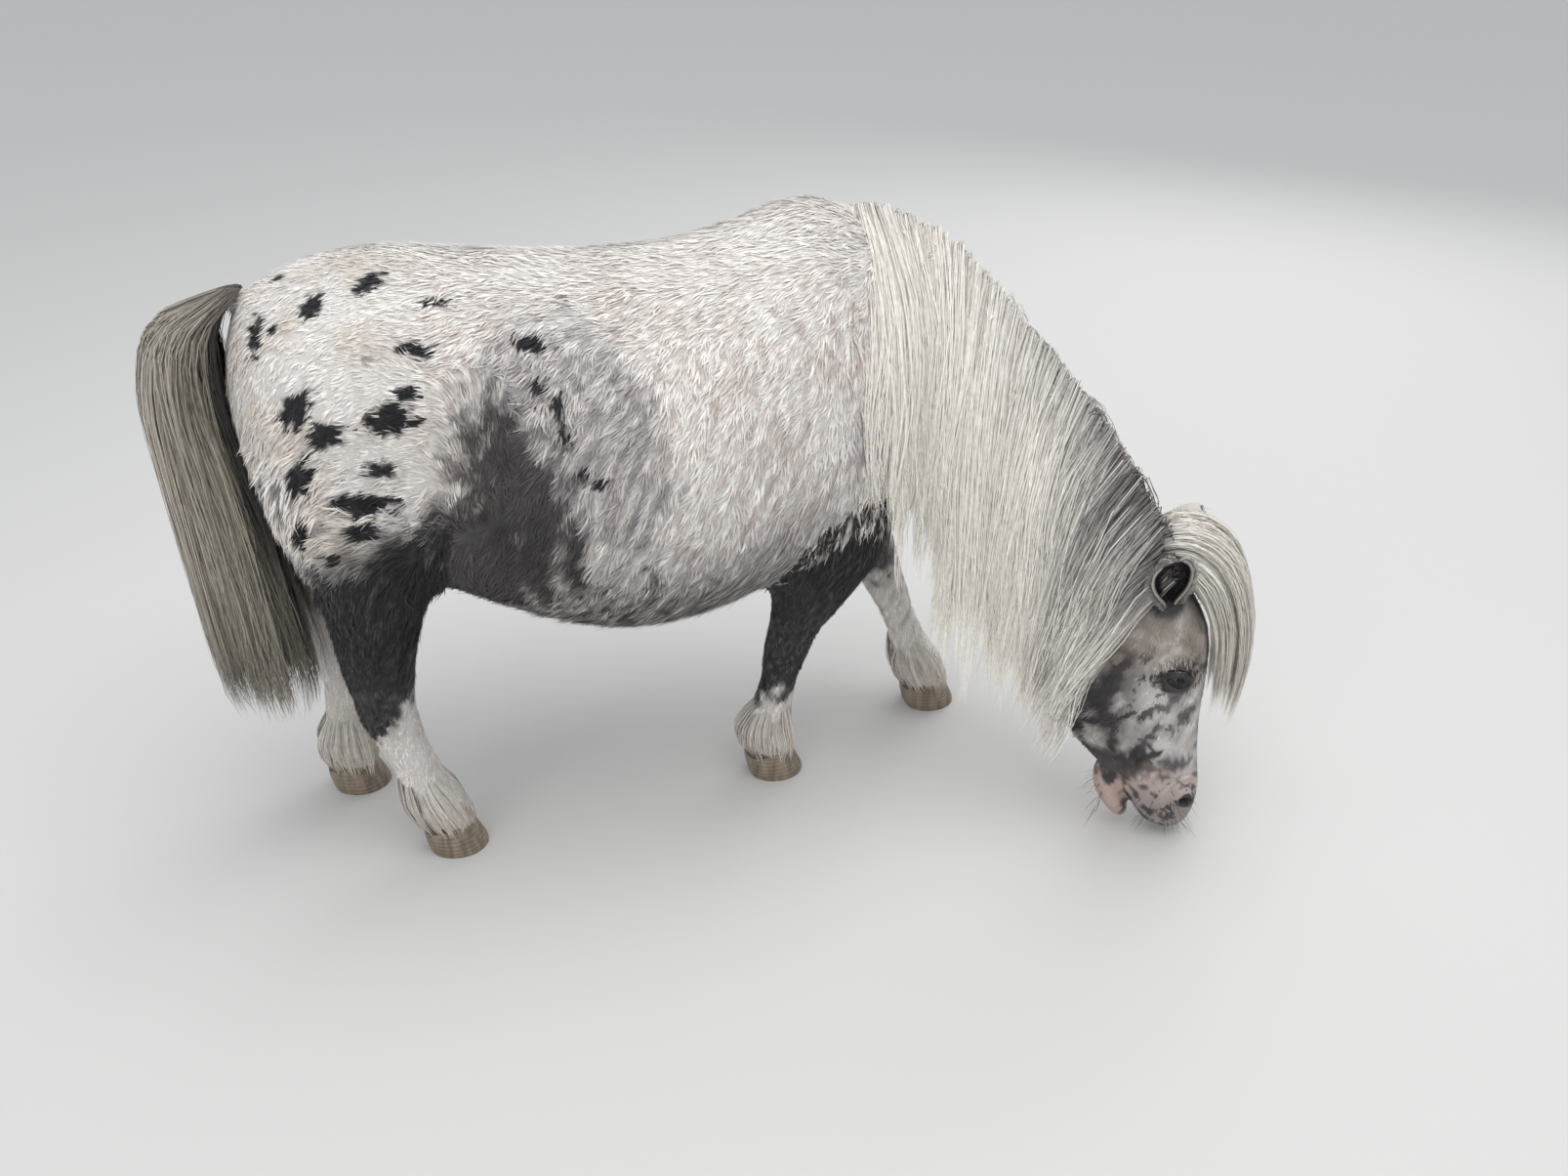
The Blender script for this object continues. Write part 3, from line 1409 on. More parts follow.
@dataclass
class Coat:
    """The short hair all over the body, in one piece for each region."""

    skin: Skin
    surface: bpy.types.Object
    material: bpy.types.Material
    steps: tuple[float, ...] = TUFT_STEPS
    quick_density: float = 0.3

    def flow(self, points: Points, parts: Points) -> Points:
        """Says which way the hair lies.

        Args:
            points: Roots in the pony's frame.
            parts: The value of each root's Part.

        Returns:
            A direction a root, not yet laid on the surface.
        """
        x, y, z = points.T
        top = blend(730, 850, z)
        belly = blend(500, 380, z)
        ways = np.stack((-0.50 - 0.40 * top - 0.40 * belly, 0 * y, -0.90 + 0.65 * top + 0.45 * belly), -1)
        ways[:, 0] += 0.25 * blend(-150, -400, x) + 0.2 * blend(180, 340, x)
        from_fold = np.stack((x + 215 - 0.25 * (z - 640), 0 * y, (z - 490) * 1.1), -1)
        fan = unit(from_fold) * 1.7
        pull = np.exp(-((from_fold[:, 0] / 62) ** 2)) * blend(530, 600, z) * blend(790, 700, z)
        pull = (pull * blend(60, 150, np.abs(y)))[:, None]
        ways = ways * (1 - pull) + fan * pull
        limb = np.isin(parts, LEG_PARTS)
        ways[limb] = (-0.18, 0.0, -1.0)
        ways = self.along_spots(points, ways)
        ways[parts == Part.NECK] = (-0.35, 0.15, -1.0)
        head = parts == Part.HEAD
        ahead, aside, _ = to_head(points[head]).T
        back = np.stack((-0.35 - 0.4 * blend(0, -120, ahead), 0 * aside, -np.ones(len(aside))), -1)
        ways[head] = from_head(back) - HEAD_PLACE
        ways[parts == Part.DOCK] = (-0.4, 0.0, -1.0)
        bend = np.stack([mottle(points, 90, seed, 2) for seed in (61, 62, 63)], -1)
        waviness = 0.20
        return unit(ways) + waviness * bend

    def along_spots(self, points: Points, ways: Points) -> Points:
        """Turns the hair of the rump along the spots, which are drawn out the way it lies.

        Args:
            points: Roots in the pony's frame.
            ways: The directions so far.

        Returns:
            The turned directions.
        """
        rump = blend(-200, -260, points[:, 0]) * blend(500, 560, points[:, 2])
        mine = np.where(rump > 0)[0]
        here = points[mine] * (1, 0, 1) - (0, 1, 0) * np.abs(points[mine, 1:2])
        own_pull, reach, slenderest = 0.15, 50, 3
        total = unit(ways[mine]) * own_pull
        for placed in self.skin.markings.spots:
            axis = placed.axis * np.sign(placed.axis @ (-0.6, 0.0, -0.8)) * (1, 0.3, 1)
            near = np.exp(-((here - placed.middle) ** 2).sum(1) / reach**2)
            slender = min(placed.spot.long / placed.spot.short, slenderest)
            total += axis * near[:, None] * slender / slenderest
        ways = ways.copy()
        ways[mine] = unit(ways[mine]) * (1 - rump[mine, None]) + unit(total) * rump[mine, None]
        return ways

    def roots(self) -> tuple[Points, Points, Points]:
        """Scatters the roots over the skin.

        Returns:
            The roots' places and normals, and the values of their Parts.
        """
        mesh = self.surface.data
        places, normals = mesh_points(mesh), mesh_normals(mesh)
        corners = read_all(mesh.polygons, "vertices", 3, np.int32)
        parts = self.skin.parts_of(from_row(places))[corners[:, 0]]
        a, b, c = (places[corners[:, k]] for k in range(3))
        area = np.linalg.norm(np.cross(b - a, c - a), axis=1) / 2 * SQUARE_CENTIMETRES
        density = np.array([ZONES[part].density for part in Part])[parts]
        count = int((area * density).sum())
        share = np.cumsum(area * density)
        picked = np.searchsorted(share, RNG.uniform(0, share[-1], count))
        p, q = RNG.uniform(size=(2, count))
        fold = p + q > 1
        p, q = np.where(fold, 1 - p, p), np.where(fold, 1 - q, q)
        weights = np.stack((1 - p - q, p, q), -1)
        spots = (places[corners[picked]] * weights[..., None]).sum(1)
        ways = unit((normals[corners[picked]] * weights[..., None]).sum(1))
        return from_row(spots), ways, parts[picked]

    def hairs(self, points: Points, normals: Points, parts: Points) -> Hairs:
        """Grows a tuft from each root.

        Args:
            points: Roots in the pony's frame.
            normals: The skin's normal at each root.
            parts: The value of each root's Part.

        Returns:
            The tufts.
        """
        zones = [ZONES[part] for part in Part]
        length = np.array([zone.length for zone in zones])[parts]
        width = np.array([zone.width for zone in zones])[parts]
        lift = np.array([zone.lift for zone in zones])[parts]
        length = length * self.length_share(points, parts) * RNG.uniform(0.7, 1.25, len(points))
        clump = mottle(grained(points), 11, 71, 2)
        ways = self.flow(points, parts) + RNG.normal(0, 0.13, (len(points), 3))
        ways = unit(ways - normals * (ways * normals).sum(1)[:, None])
        sides = np.cross(normals, ways)
        lift = lift * (1 + 0.55 * clump) * RNG.uniform(0.6, 1.4, len(points))
        sway = 0.20 * mottle(points, 24, 72, 2) + RNG.normal(0, 0.05, len(points))
        s = np.array(self.steps)
        rise = lift[:, None] * (1.7 * s - 0.7 * s**2) * length[:, None]
        drift = sway[:, None] * s**2 * length[:, None]
        centres = points[:, None] + ways[:, None] * (length[:, None] * s)[..., None]
        sunk = 1.0
        centres += normals[:, None] * (rise - sunk)[..., None] + sides[:, None] * drift[..., None]
        taper = np.array((0.7, 1.0, 0.62, 0.0)) / 2
        half = sides[:, None] * (width[:, None] * taper * RNG.uniform(0.6, 1.2, (len(points), 1)))[..., None]
        tilt = RNG.normal(0, 0.18, (len(points), 1, 1))
        leaning = ways[:, None] * (0.25 + 0.3 * lift[:, None, None])
        shading = normals[:, None] - leaning + sides[:, None] * tilt
        shading = np.repeat(shading, len(s), 1)
        tints = self.skin.markings.colour(points + ways * (0.5 * length)[:, None], parts)
        tints = tints * (1 + 0.10 * clump[:, None]) * RNG.uniform(0.88, 1.10, (len(points), 1))
        tints = np.repeat(tints[:, None], len(s), 1)
        return Hairs(centres, half, shading, tints, bake_places(points, parts))

    def length_share(self, points: Points, parts: Points) -> Points:
        """Shortens or lengthens the hair by place.

        Args:
            points: Roots in the pony's frame.
            parts: The value of each root's Part.

        Returns:
            The share of its part's length that each hair has.
        """
        share = np.ones(len(points))
        torso = parts == Part.TORSO
        share[torso] = 0.85 + 0.35 * blend(480, 360, points[torso, 2])
        share *= 1 - 0.35 * blend(-220, -310, points[:, 0]) * blend(480, 560, points[:, 2])
        limb = np.isin(parts, LEG_PARTS)
        share[limb] = 0.70 + 0.7 * blend(300, 480, points[limb, 2])
        head = parts == Part.HEAD
        local = to_head(points[head])
        jaw = blend(-90, -150, local[:, 0])
        share[head] = 0.30 + 0.75 * blend(110, 220, local[:, 2]) + 0.9 * jaw
        return share

    def build(self) -> list[bpy.types.Object]:
        """Builds the coat's pieces, all under the triangle limit of a piece.

        Returns:
            The pieces.
        """
        points, normals, parts = self.roots()
        keep = self.clear_of_face(points, parts)
        points, normals, parts = points[keep], normals[keep], parts[keep]
        regions = {
            **self.trunk_regions(points, parts),
            "coat_neck": (np.isin(parts, (Part.NECK, Part.DOCK)), "body_coat"),
            "coat_face": (parts == Part.HEAD, "face_coat"),
            "coat_hind_legs": (np.isin(parts, (Part.HIND_RIGHT, Part.HIND_LEFT)), "leg_coat"),
            "coat_fore_legs": (np.isin(parts, (Part.FORE_RIGHT, Part.FORE_LEFT)), "leg_coat"),
        }
        return [
            self.hairs(points[mine], normals[mine], parts[mine]).piece(name, slot, self.material)
            for name, (mine, slot) in regions.items()
        ]

    def trunk_regions(self, points: Points, parts: Points) -> dict[str, tuple[Points, str]]:
        """Cuts the trunk's coat across and along its middle.

        Args:
            points: Roots in the pony's frame.
            parts: The value of each root's Part.

        Returns:
            For each region's name, which roots it has and its slot.
        """
        trunk = parts == Part.TORSO
        right = points[:, 1] < 0
        stretch = np.digitize(points[:, 0], (-180, 120))
        return {
            f"coat_{place}_{side}": (trunk & (stretch == i) & (right == (side == "right")), "body_coat")
            for i, place in enumerate(("rump", "barrel", "shoulder"))
            for side in ("right", "left")
        }

    def clear_of_face(self, points: Points, parts: Points) -> Points:
        """Keeps hair off the eyeballs, the nostrils' hollows and the bare lips.

        Args:
            points: Roots in the pony's frame.
            parts: The value of each root's Part.

        Returns:
            Whether each root stays.
        """
        local = to_head(points)
        beside = np.abs(local[:, 1]) > 30
        eye = np.hypot((local[:, 0] - EYE_PLACE[0]) / 17, (local[:, 2] - EYE_PLACE[2]) / 10) < 1
        nose = np.hypot((local[:, 0] - NOSTRIL_PLACE[0]) / 13, (local[:, 2] - NOSTRIL_PLACE[2]) / 11) < 1
        bare_share = 0.6
        low = (local[:, 2] < 70) & (RNG.uniform(size=len(points)) < bare_share)
        bare = (parts == Part.HEAD) & ((beside & (eye | nose)) | low)
        return ~bare


@dataclass
class Lock:
    """One lock of long hair: the path of its middle, its directions and its sizes in millimetres.

    The tip is the share of its spread that it keeps at its end, the shortest strand is a share of
    the path, and the place is where on the crest it grows.
    """

    path: Points
    across: Points
    outward: Points
    width: float
    thick: float
    strands: int
    tip: float = 0.3
    thread: float = 1.5
    wave: float = 3.0
    shortest: float = 0.7
    longest: float = 1.04
    place: float = 0.0

    def strand_paths(self, steps: int) -> tuple[Points, Points]:
        """Spreads strands round the lock's middle.

        Args:
            steps: Points along each strand.

        Returns:
            The strands' points, and how far along the lock each point is.
        """
        count = self.strands
        reach = RNG.uniform(self.shortest, self.longest, (count, 1))
        s = np.linspace(0, 1, steps)[None] * reach
        marks = np.linspace(0, self.longest, len(self.path))
        middle = np.stack([np.interp(s, marks, self.path[:, k]) for k in range(3)], -1)
        radius = np.sqrt(RNG.uniform(0, 1, (count, 1)))
        turn = RNG.uniform(0, TAU, (count, 1))
        spread = np.minimum(0.55 + 1.5 * s, 1) * (1 - (1 - self.tip) * blend(0.3, 1.0, s))
        phase = RNG.uniform(0, TAU, (count, 1))
        waves = self.wave * (np.sin(s * 7 + phase) + 0.5 * np.sin(s * 17 + 2 * phase)) * s
        aside = self.width / 2 * radius * np.cos(turn) * spread + waves
        out = self.thick / 2 * radius * np.sin(turn) * spread + waves * 0.3
        wide = unit(self.across)
        return middle + aside[..., None] * wide + out[..., None] * self.outward, s


def strand_hairs(
    locks: list[Lock],
    steps: int,
    tint: Callable[[Lock, Points, Points], Points],
    roots: Callable[[Points], Points],
) -> Hairs:
    """Turns locks into ribbons.

    A lock that grows behind the neck's first section has no direction across, and none of its
    strands is drawn.

    Args:
        locks: The locks.
        steps: Points along each strand.
        tint: Gives each strand's colours from its lock, its points and how far along they are.
        roots: Gives the bake places of root points.

    Returns:
        All strands of the locks.
    """
    centres, sides, normals, colours = [], [], [], []
    for lock in locks:
        paths, s = lock.strand_paths(steps)
        along = unit(np.gradient(paths, axis=1))
        roll = RNG.normal(0, 0.5, (len(paths), 1, 1))
        facing = unit(lock.outward + lock.across * roll)
        side = unit(np.cross(along, np.broadcast_to(facing, along.shape)))
        thinning = 0.55
        thread = lock.thread / 2 * RNG.uniform(0.7, 1.3, (len(paths), 1)) * (1 - thinning * s)
        tints = tint(lock, paths, s)
        if lock.across.any():
            centres.append(paths)
            sides.append(side * thread[..., None])
            normals.append(unit(np.cross(side, along) + 0.5 * lock.outward))
            colours.append(tints)
    joined = [np.concatenate(rows) for rows in (centres, sides, normals, colours)]
    return Hairs(*joined, roots(joined[0][:, 0]))


@dataclass
class Mane:
    """The long mane that falls on the right and the short hair that falls to the left."""

    surface: bpy.types.Object
    material: bpy.types.Material
    locks_right: int = 190
    locks_left: int = 70
    strands_right: int = 54
    strands_left: int = 34
    first_place: float = -0.46
    stretch: float = 1.44
    bvh: BVHTree = field(init=False)

    def fall(self, t: float, side: int, length: float, lift: float, slant: float) -> Lock:
        """Drops one lock from the crest over the side of the neck.

        Args:
            t: Place along the crest, from 0 at the withers to 1 at the poll.
            side: 1 for the right, -1 for the left.
            length: The lock's length.
            lift: How far it lies off what is below it.
            slant: Drift back for each unit of fall.

        Returns:
            The lock.
        """
        centre, along, up, right, reaches = (values[0] for values in neck_frames(np.array([t])))
        out = unit(right * (1, 1, 0)) * side
        back = -unit(along * (1, 1, 0))
        top = centre + up * (reaches[0] - 5) + (400 * min(t, 0), 0, 110 * min(t, 0))
        bush = 18 * float(blend(0.6, 0.92, np.array(t)))
        path = [top - up * 10 - out * 16, top + up * (3 + 0.5 * lift + bush) + out * (2 + 0.4 * bush)]
        far = 700.0
        reach = 0.0
        steps = 9
        sway, phase = RNG.normal(0, 9), RNG.uniform(0, TAU)
        for k in range(1, steps + 1):
            drop = length * k / steps
            place = top + back * (drop * slant + sway * math.sin(5.5 * k / steps + phase) * k / steps)
            place = place - UPWARD * drop
            origin = Vector(to_row(place + out * far))
            hit = self.bvh.ray_cast(origin, Vector(-out), far * MM)
            if hit[0] is not None:
                reach = max(reach, far - hit[3] / MM + lift)
            path.append(place + out * reach)
        return Lock(np.array(path), back, out, width=44, thick=13, strands=0, tip=0.2, wave=7.0, place=t)

    def tint(self, lock: Lock, paths: Points, s: Points) -> Points:
        """Colours the mane's strands, darker and greyer towards the poll.

        Args:
            lock: The strands' lock.
            paths: Their points.
            s: How far along the lock each point is.

        Returns:
            A colour for each point.
        """
        place = np.full(s.shape, lock.place)
        poll = blend(0.52, 0.80, place)
        strand = RNG.normal(0, 1, (len(paths), 1))
        shade = 0.5 + 0.5 * mottle(lock.path[:1], 60, 81)[0]
        crest = blend(0.30, 0.62, place) * blend(0.30, 0.02, s + 0.06 * strand)
        grey = np.clip(poll * blend(1.0, 0.25, s + 0.28 * strand) * (0.55 + 0.45 * shade) + 0.6 * crest, 0, 1)
        grey = np.maximum(grey, 0.30 * blend(1.2, 2.0, strand) * blend(0.9, 0.4, s))[..., None]
        cream = Shade.MANE_CREAM.rgb * (1 + 0.10 * strand)[..., None]
        soil = (0.10 * blend(0.55, 1.0, s))[..., None]
        cream = cream * (1 - soil) + Shade.SOILED.rgb * soil
        return cream * (1 - grey) + Shade.MANE_GREY.rgb * (1 + 0.3 * strand)[..., None] * grey

    def locks(self, side: int, count: int, strands: int) -> list[Lock]:
        """Hangs the locks of one side from the crest.

        Args:
            side: 1 for the right, -1 for the left.
            count: How many locks.
            strands: How many strands each has.

        Returns:
            The locks.
        """
        made = []
        for i in range(count):
            t = self.first_place + self.stretch * (i + RNG.uniform(0, 0.9)) / count
            fuller = 130 * math.exp(-(((t - 0.4) / 0.2) ** 2))
            longest = 290 + 155 * math.sin(math.pi * (0.34 + 0.6 * t)) + fuller
            length = longest * RNG.uniform(0.66, 1.06) if side > 0 else RNG.uniform(50, 190)
            slant = np.interp(t, (0, 0.5, 1), (-0.02, 0.03, 0.34)) + RNG.normal(0, 0.05)
            lock = self.fall(t, side, length, RNG.uniform(2, 17), slant)
            lock.strands = strands
            lock.width = RNG.uniform(34, 60)
            made.append(lock)
        return made

    def build(self) -> list[bpy.types.Object]:
        """Builds both falls of the mane.

        Returns:
            The long fall and the short one.
        """
        self.bvh = BVHTree.FromObject(self.surface, bpy.context.evaluated_depsgraph_get())
        falls = {
            "mane": (1, self.locks_right, strand_count(self.strands_right)),
            "mane_far_side": (-1, self.locks_left, strand_count(self.strands_left)),
        }
        roots = partial(roots_on, Part.NECK)
        return [
            strand_hairs(self.locks(*fall), 11, self.tint, roots).piece(name, "mane_hair", self.material)
            for name, fall in falls.items()
        ]


def ear_radius(places: Points) -> Points:
    """Gives the half-width of an ear from 0 at its foot to 1 at its tip."""
    return EAR_RADIUS * np.sin(np.pi * (0.09 + 0.87 * places**1.7)) ** 0.7


@dataclass
class Forelock:
    """The bushy hair that arches from the poll over the forehead."""

    material: bpy.types.Material
    locks: int = 150
    near_edge: float = -52.0
    far_edge: float = 44.0
    strands: int = 52
    points: int = 14

    def tint(self, lock: Lock, paths: Points, s: Points) -> Points:
        """Colours the strands, grey at the roots and cream beyond.

        Args:
            lock: The strands' lock.
            paths: Their points.
            s: How far along the lock each point is.

        Returns:
            A colour for each point.
        """
        strand = RNG.normal(0, 1, (len(paths), 1))
        grey = (0.70 * blend(0.26, 0.04, s + 0.06 * strand))[..., None]
        inner = (0.30 * blend(0.6, 1.6, strand))[..., None]
        cream = Shade.MANE_CREAM.rgb * (1 + 0.10 * strand)[..., None]
        cream = cream * (1 - inner) + Shade.BEIGE.rgb * inner
        return cream * (1 - grey) + Shade.MANE_GREY.rgb * 1.5 * grey

    def build(self) -> list[bpy.types.Object]:
        """Builds the forelock.

        Returns:
            The piece.
        """
        made = []
        for _ in range(self.locks):
            layer = RNG.uniform(0.0, 1.0)
            places = np.linspace(0, RNG.uniform(0.72, 1.0), self.points)
            bed, crest = stations_at(FORELOCK_BED, places), stations_at(FORELOCK_CREST, places)
            rows = (1 - layer) * bed + layer * crest
            aside = RNG.uniform(self.near_edge, self.far_edge) * (1 - 0.45 * layer)
            rows[:, 1] += aside * np.minimum(0.45 + 1.2 * places, 1)
            rows[:, 0] -= (1 - layer) * 0.0075 * aside**2 * np.minimum(2 * places, 1)
            outward = unit(FORWARD + 0.012 * aside * LEFTWARD + 0.4 * UPWARD)
            strands = strand_count(self.strands)
            made.append(Lock(from_head(rows), LEFTWARD, outward, 24, 13, strands, tip=0.4))
        hairs = strand_hairs(made, 12, self.tint, partial(roots_on, Part.HEAD))
        return [hairs.piece("forelock", "mane_hair", self.material)]


@dataclass
class Tail:
    """The long tail hair that leaves the dock all round."""

    material: bpy.types.Material
    locks: int = 90
    strands: int = 84
    points: int = 14
    turn_share: float = 0.381966

    def tint(self, lock: Lock, paths: Points, s: Points) -> Points:
        """Colours the strands: cream outer edge, grey-brown middle, black by the buttocks.

        Args:
            lock: The strands' lock.
            paths: Their points.
            s: How far along the lock each point is.

        Returns:
            A colour for each point.
        """
        strand = RNG.normal(0, 1, (len(paths), 1))
        behind, aside = lock.outward[0], lock.outward[1]
        cream = blend(0.25, -0.85, np.full(s.shape, behind)) * blend(0.95, 0.35, s)
        cream = np.clip(cream * 0.85 + 0.32 * strand * blend(1.1, 0.3, s), 0, 1)
        dark = blend(0.30, 0.75, np.full(s.shape, behind - 0.1 * aside)) * blend(0.95, 0.6, s)
        colours = np.broadcast_to(Shade.TAIL_BROWN.rgb, paths.shape) * (1 + 0.3 * strand)[..., None]
        colours = colours * (1 - cream[..., None]) + Shade.TAIL_CREAM.rgb * cream[..., None]
        colours = colours * (1 - 0.9 * dark[..., None]) + Shade.BLACK.rgb * 0.9 * dark[..., None]
        return colours * (1 - 0.35 * blend(0.7, 1.0, s) - 0.3 * blend(0.22, 0.04, s))[..., None]

    def lock(self, turn: float) -> Lock:
        """Hangs one lock from the dock.

        Args:
            turn: Its direction from the tail's middle, from the pony's front to its left.

        Returns:
            The lock.
        """
        cos, sin = math.cos(turn), math.sin(turn)
        layer = math.sqrt(RNG.uniform(0.12, 1.0))
        start = 0.01 + 0.36 * RNG.uniform() ** 1.3
        finish = min(0.80 + RNG.uniform(0, 0.22) + 0.04 * sin, 1.0)
        rows = stations_at(TAIL, np.linspace(start, finish, self.points))
        s = np.linspace(0, 1, self.points)
        spread = np.interp(s, (0, 0.15, 0.4, 1), (0.4, 0.85, 1.0, 1.05)) * layer
        fuller = 1 + s**2 * (0.5 if cos > 0 else 0.1)
        along = (rows[:, 3] if cos > 0 else rows[:, 4]) * fuller
        x = rows[:, 0] + along * spread * cos
        y = rows[:, 1] + rows[:, 5] * spread * sin
        outward, across = np.array((cos, sin, 0.0)), np.array((-sin, cos, 0.0))
        drop = RNG.uniform(0, 42) * s**2
        path = np.stack((x, y, rows[:, 2] - drop), -1)
        strands = strand_count(self.strands)
        return Lock(path, across, outward, 36, 24, strands, tip=0.45, thread=1.4, wave=8.0)

    def build(self) -> list[bpy.types.Object]:
        """Builds the tail and lets it stand for the CAD tail.

        Returns:
            The piece.
        """
        made = [self.lock((i * self.turn_share + RNG.uniform(0, 0.05)) * TAU) for i in range(self.locks)]
        hairs = strand_hairs(made, 12, self.tint, partial(roots_on, Part.DOCK))
        piece = hairs.piece("tail_hair", "tail_hair", self.material)
        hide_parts("tail")
        return [piece]


def leg_roots(points: Points) -> Points:
    """Gives the bake places of roots on the nearest leg.

    Args:
        points: Roots in the pony's frame.

    Returns:
        Two coordinates from 0 to 1 for each root.
    """
    middles = np.array([LEGS[part][-3, :2] for part in LEG_PARTS])
    nearest = np.linalg.norm(points[:, None, :2] - middles, axis=2).argmin(1)
    return bake_places(points, np.array(LEG_PARTS)[nearest])


@dataclass
class Feather:
    """The longer hair behind each fetlock, over the heel of the hoof."""

    material: bpy.types.Material
    locks: int = 18
    strands: int = 46
    points: int = 6
    reach_round: float = math.radians(250)

    def lock(self, part: Part, turn: float) -> Lock:
        """Hangs one lock from a fetlock.

        Args:
            part: Which leg.
            turn: Its direction from the leg's middle, from the pony's front to its left.

        Returns:
            The lock.
        """
        cos, sin = math.cos(turn), math.sin(turn)
        top = RNG.uniform(95, 140)
        heights = np.linspace(top, RNG.uniform(22, 46), self.points)
        rows = LEGS[part][::-1]
        x, y, ahead, behind, half = (np.interp(heights, rows[:, 2], rows[:, k]) for k in (0, 1, 3, 4, 5))
        s = np.linspace(0, 1, self.points)
        backness = max(-cos, 0.15)
        stand = -5 + (9 + 9 * backness) * np.sin(np.minimum(s * 2.2, math.pi / 2))
        reach = ahead if cos > 0 else behind
        places = np.stack((x + (reach + stand) * cos, y + (half + stand) * sin, heights), -1)
        outward, across = np.array((cos, sin, 0.0)), np.array((-sin, cos, 0.0))
        strands = strand_count(self.strands)
        return Lock(places, across, outward, 24, 9, strands, tip=0.45, thread=1.2, wave=1.2, shortest=0.6)

    def tint(self, lock: Lock, paths: Points, s: Points) -> Points:
        """Colours the strands as the pale fetlock, soiled at their tips.

        Args:
            lock: The strands' lock.
            paths: Their points.
            s: How far along the lock each point is.

        Returns:
            A colour for each point.
        """
        strand = RNG.normal(0, 1, (len(paths), 1, 1))
        soil = (0.25 + 0.35 * s)[..., None]
        return (Shade.CREAM.rgb * (1 - soil) + Shade.SOILED.rgb * soil) * (1 + 0.12 * strand)

    def build(self) -> list[bpy.types.Object]:
        """Builds the feather of all four legs.

        Returns:
            One piece.
        """
        made = [
            self.lock(part, math.pi + self.reach_round * ((i + RNG.uniform(0, 0.6)) / self.locks - 0.5))
            for part in LEG_PARTS
            for i in range(self.locks)
        ]
        return [strand_hairs(made, 7, self.tint, leg_roots).piece("feather", "leg_coat", self.material)]


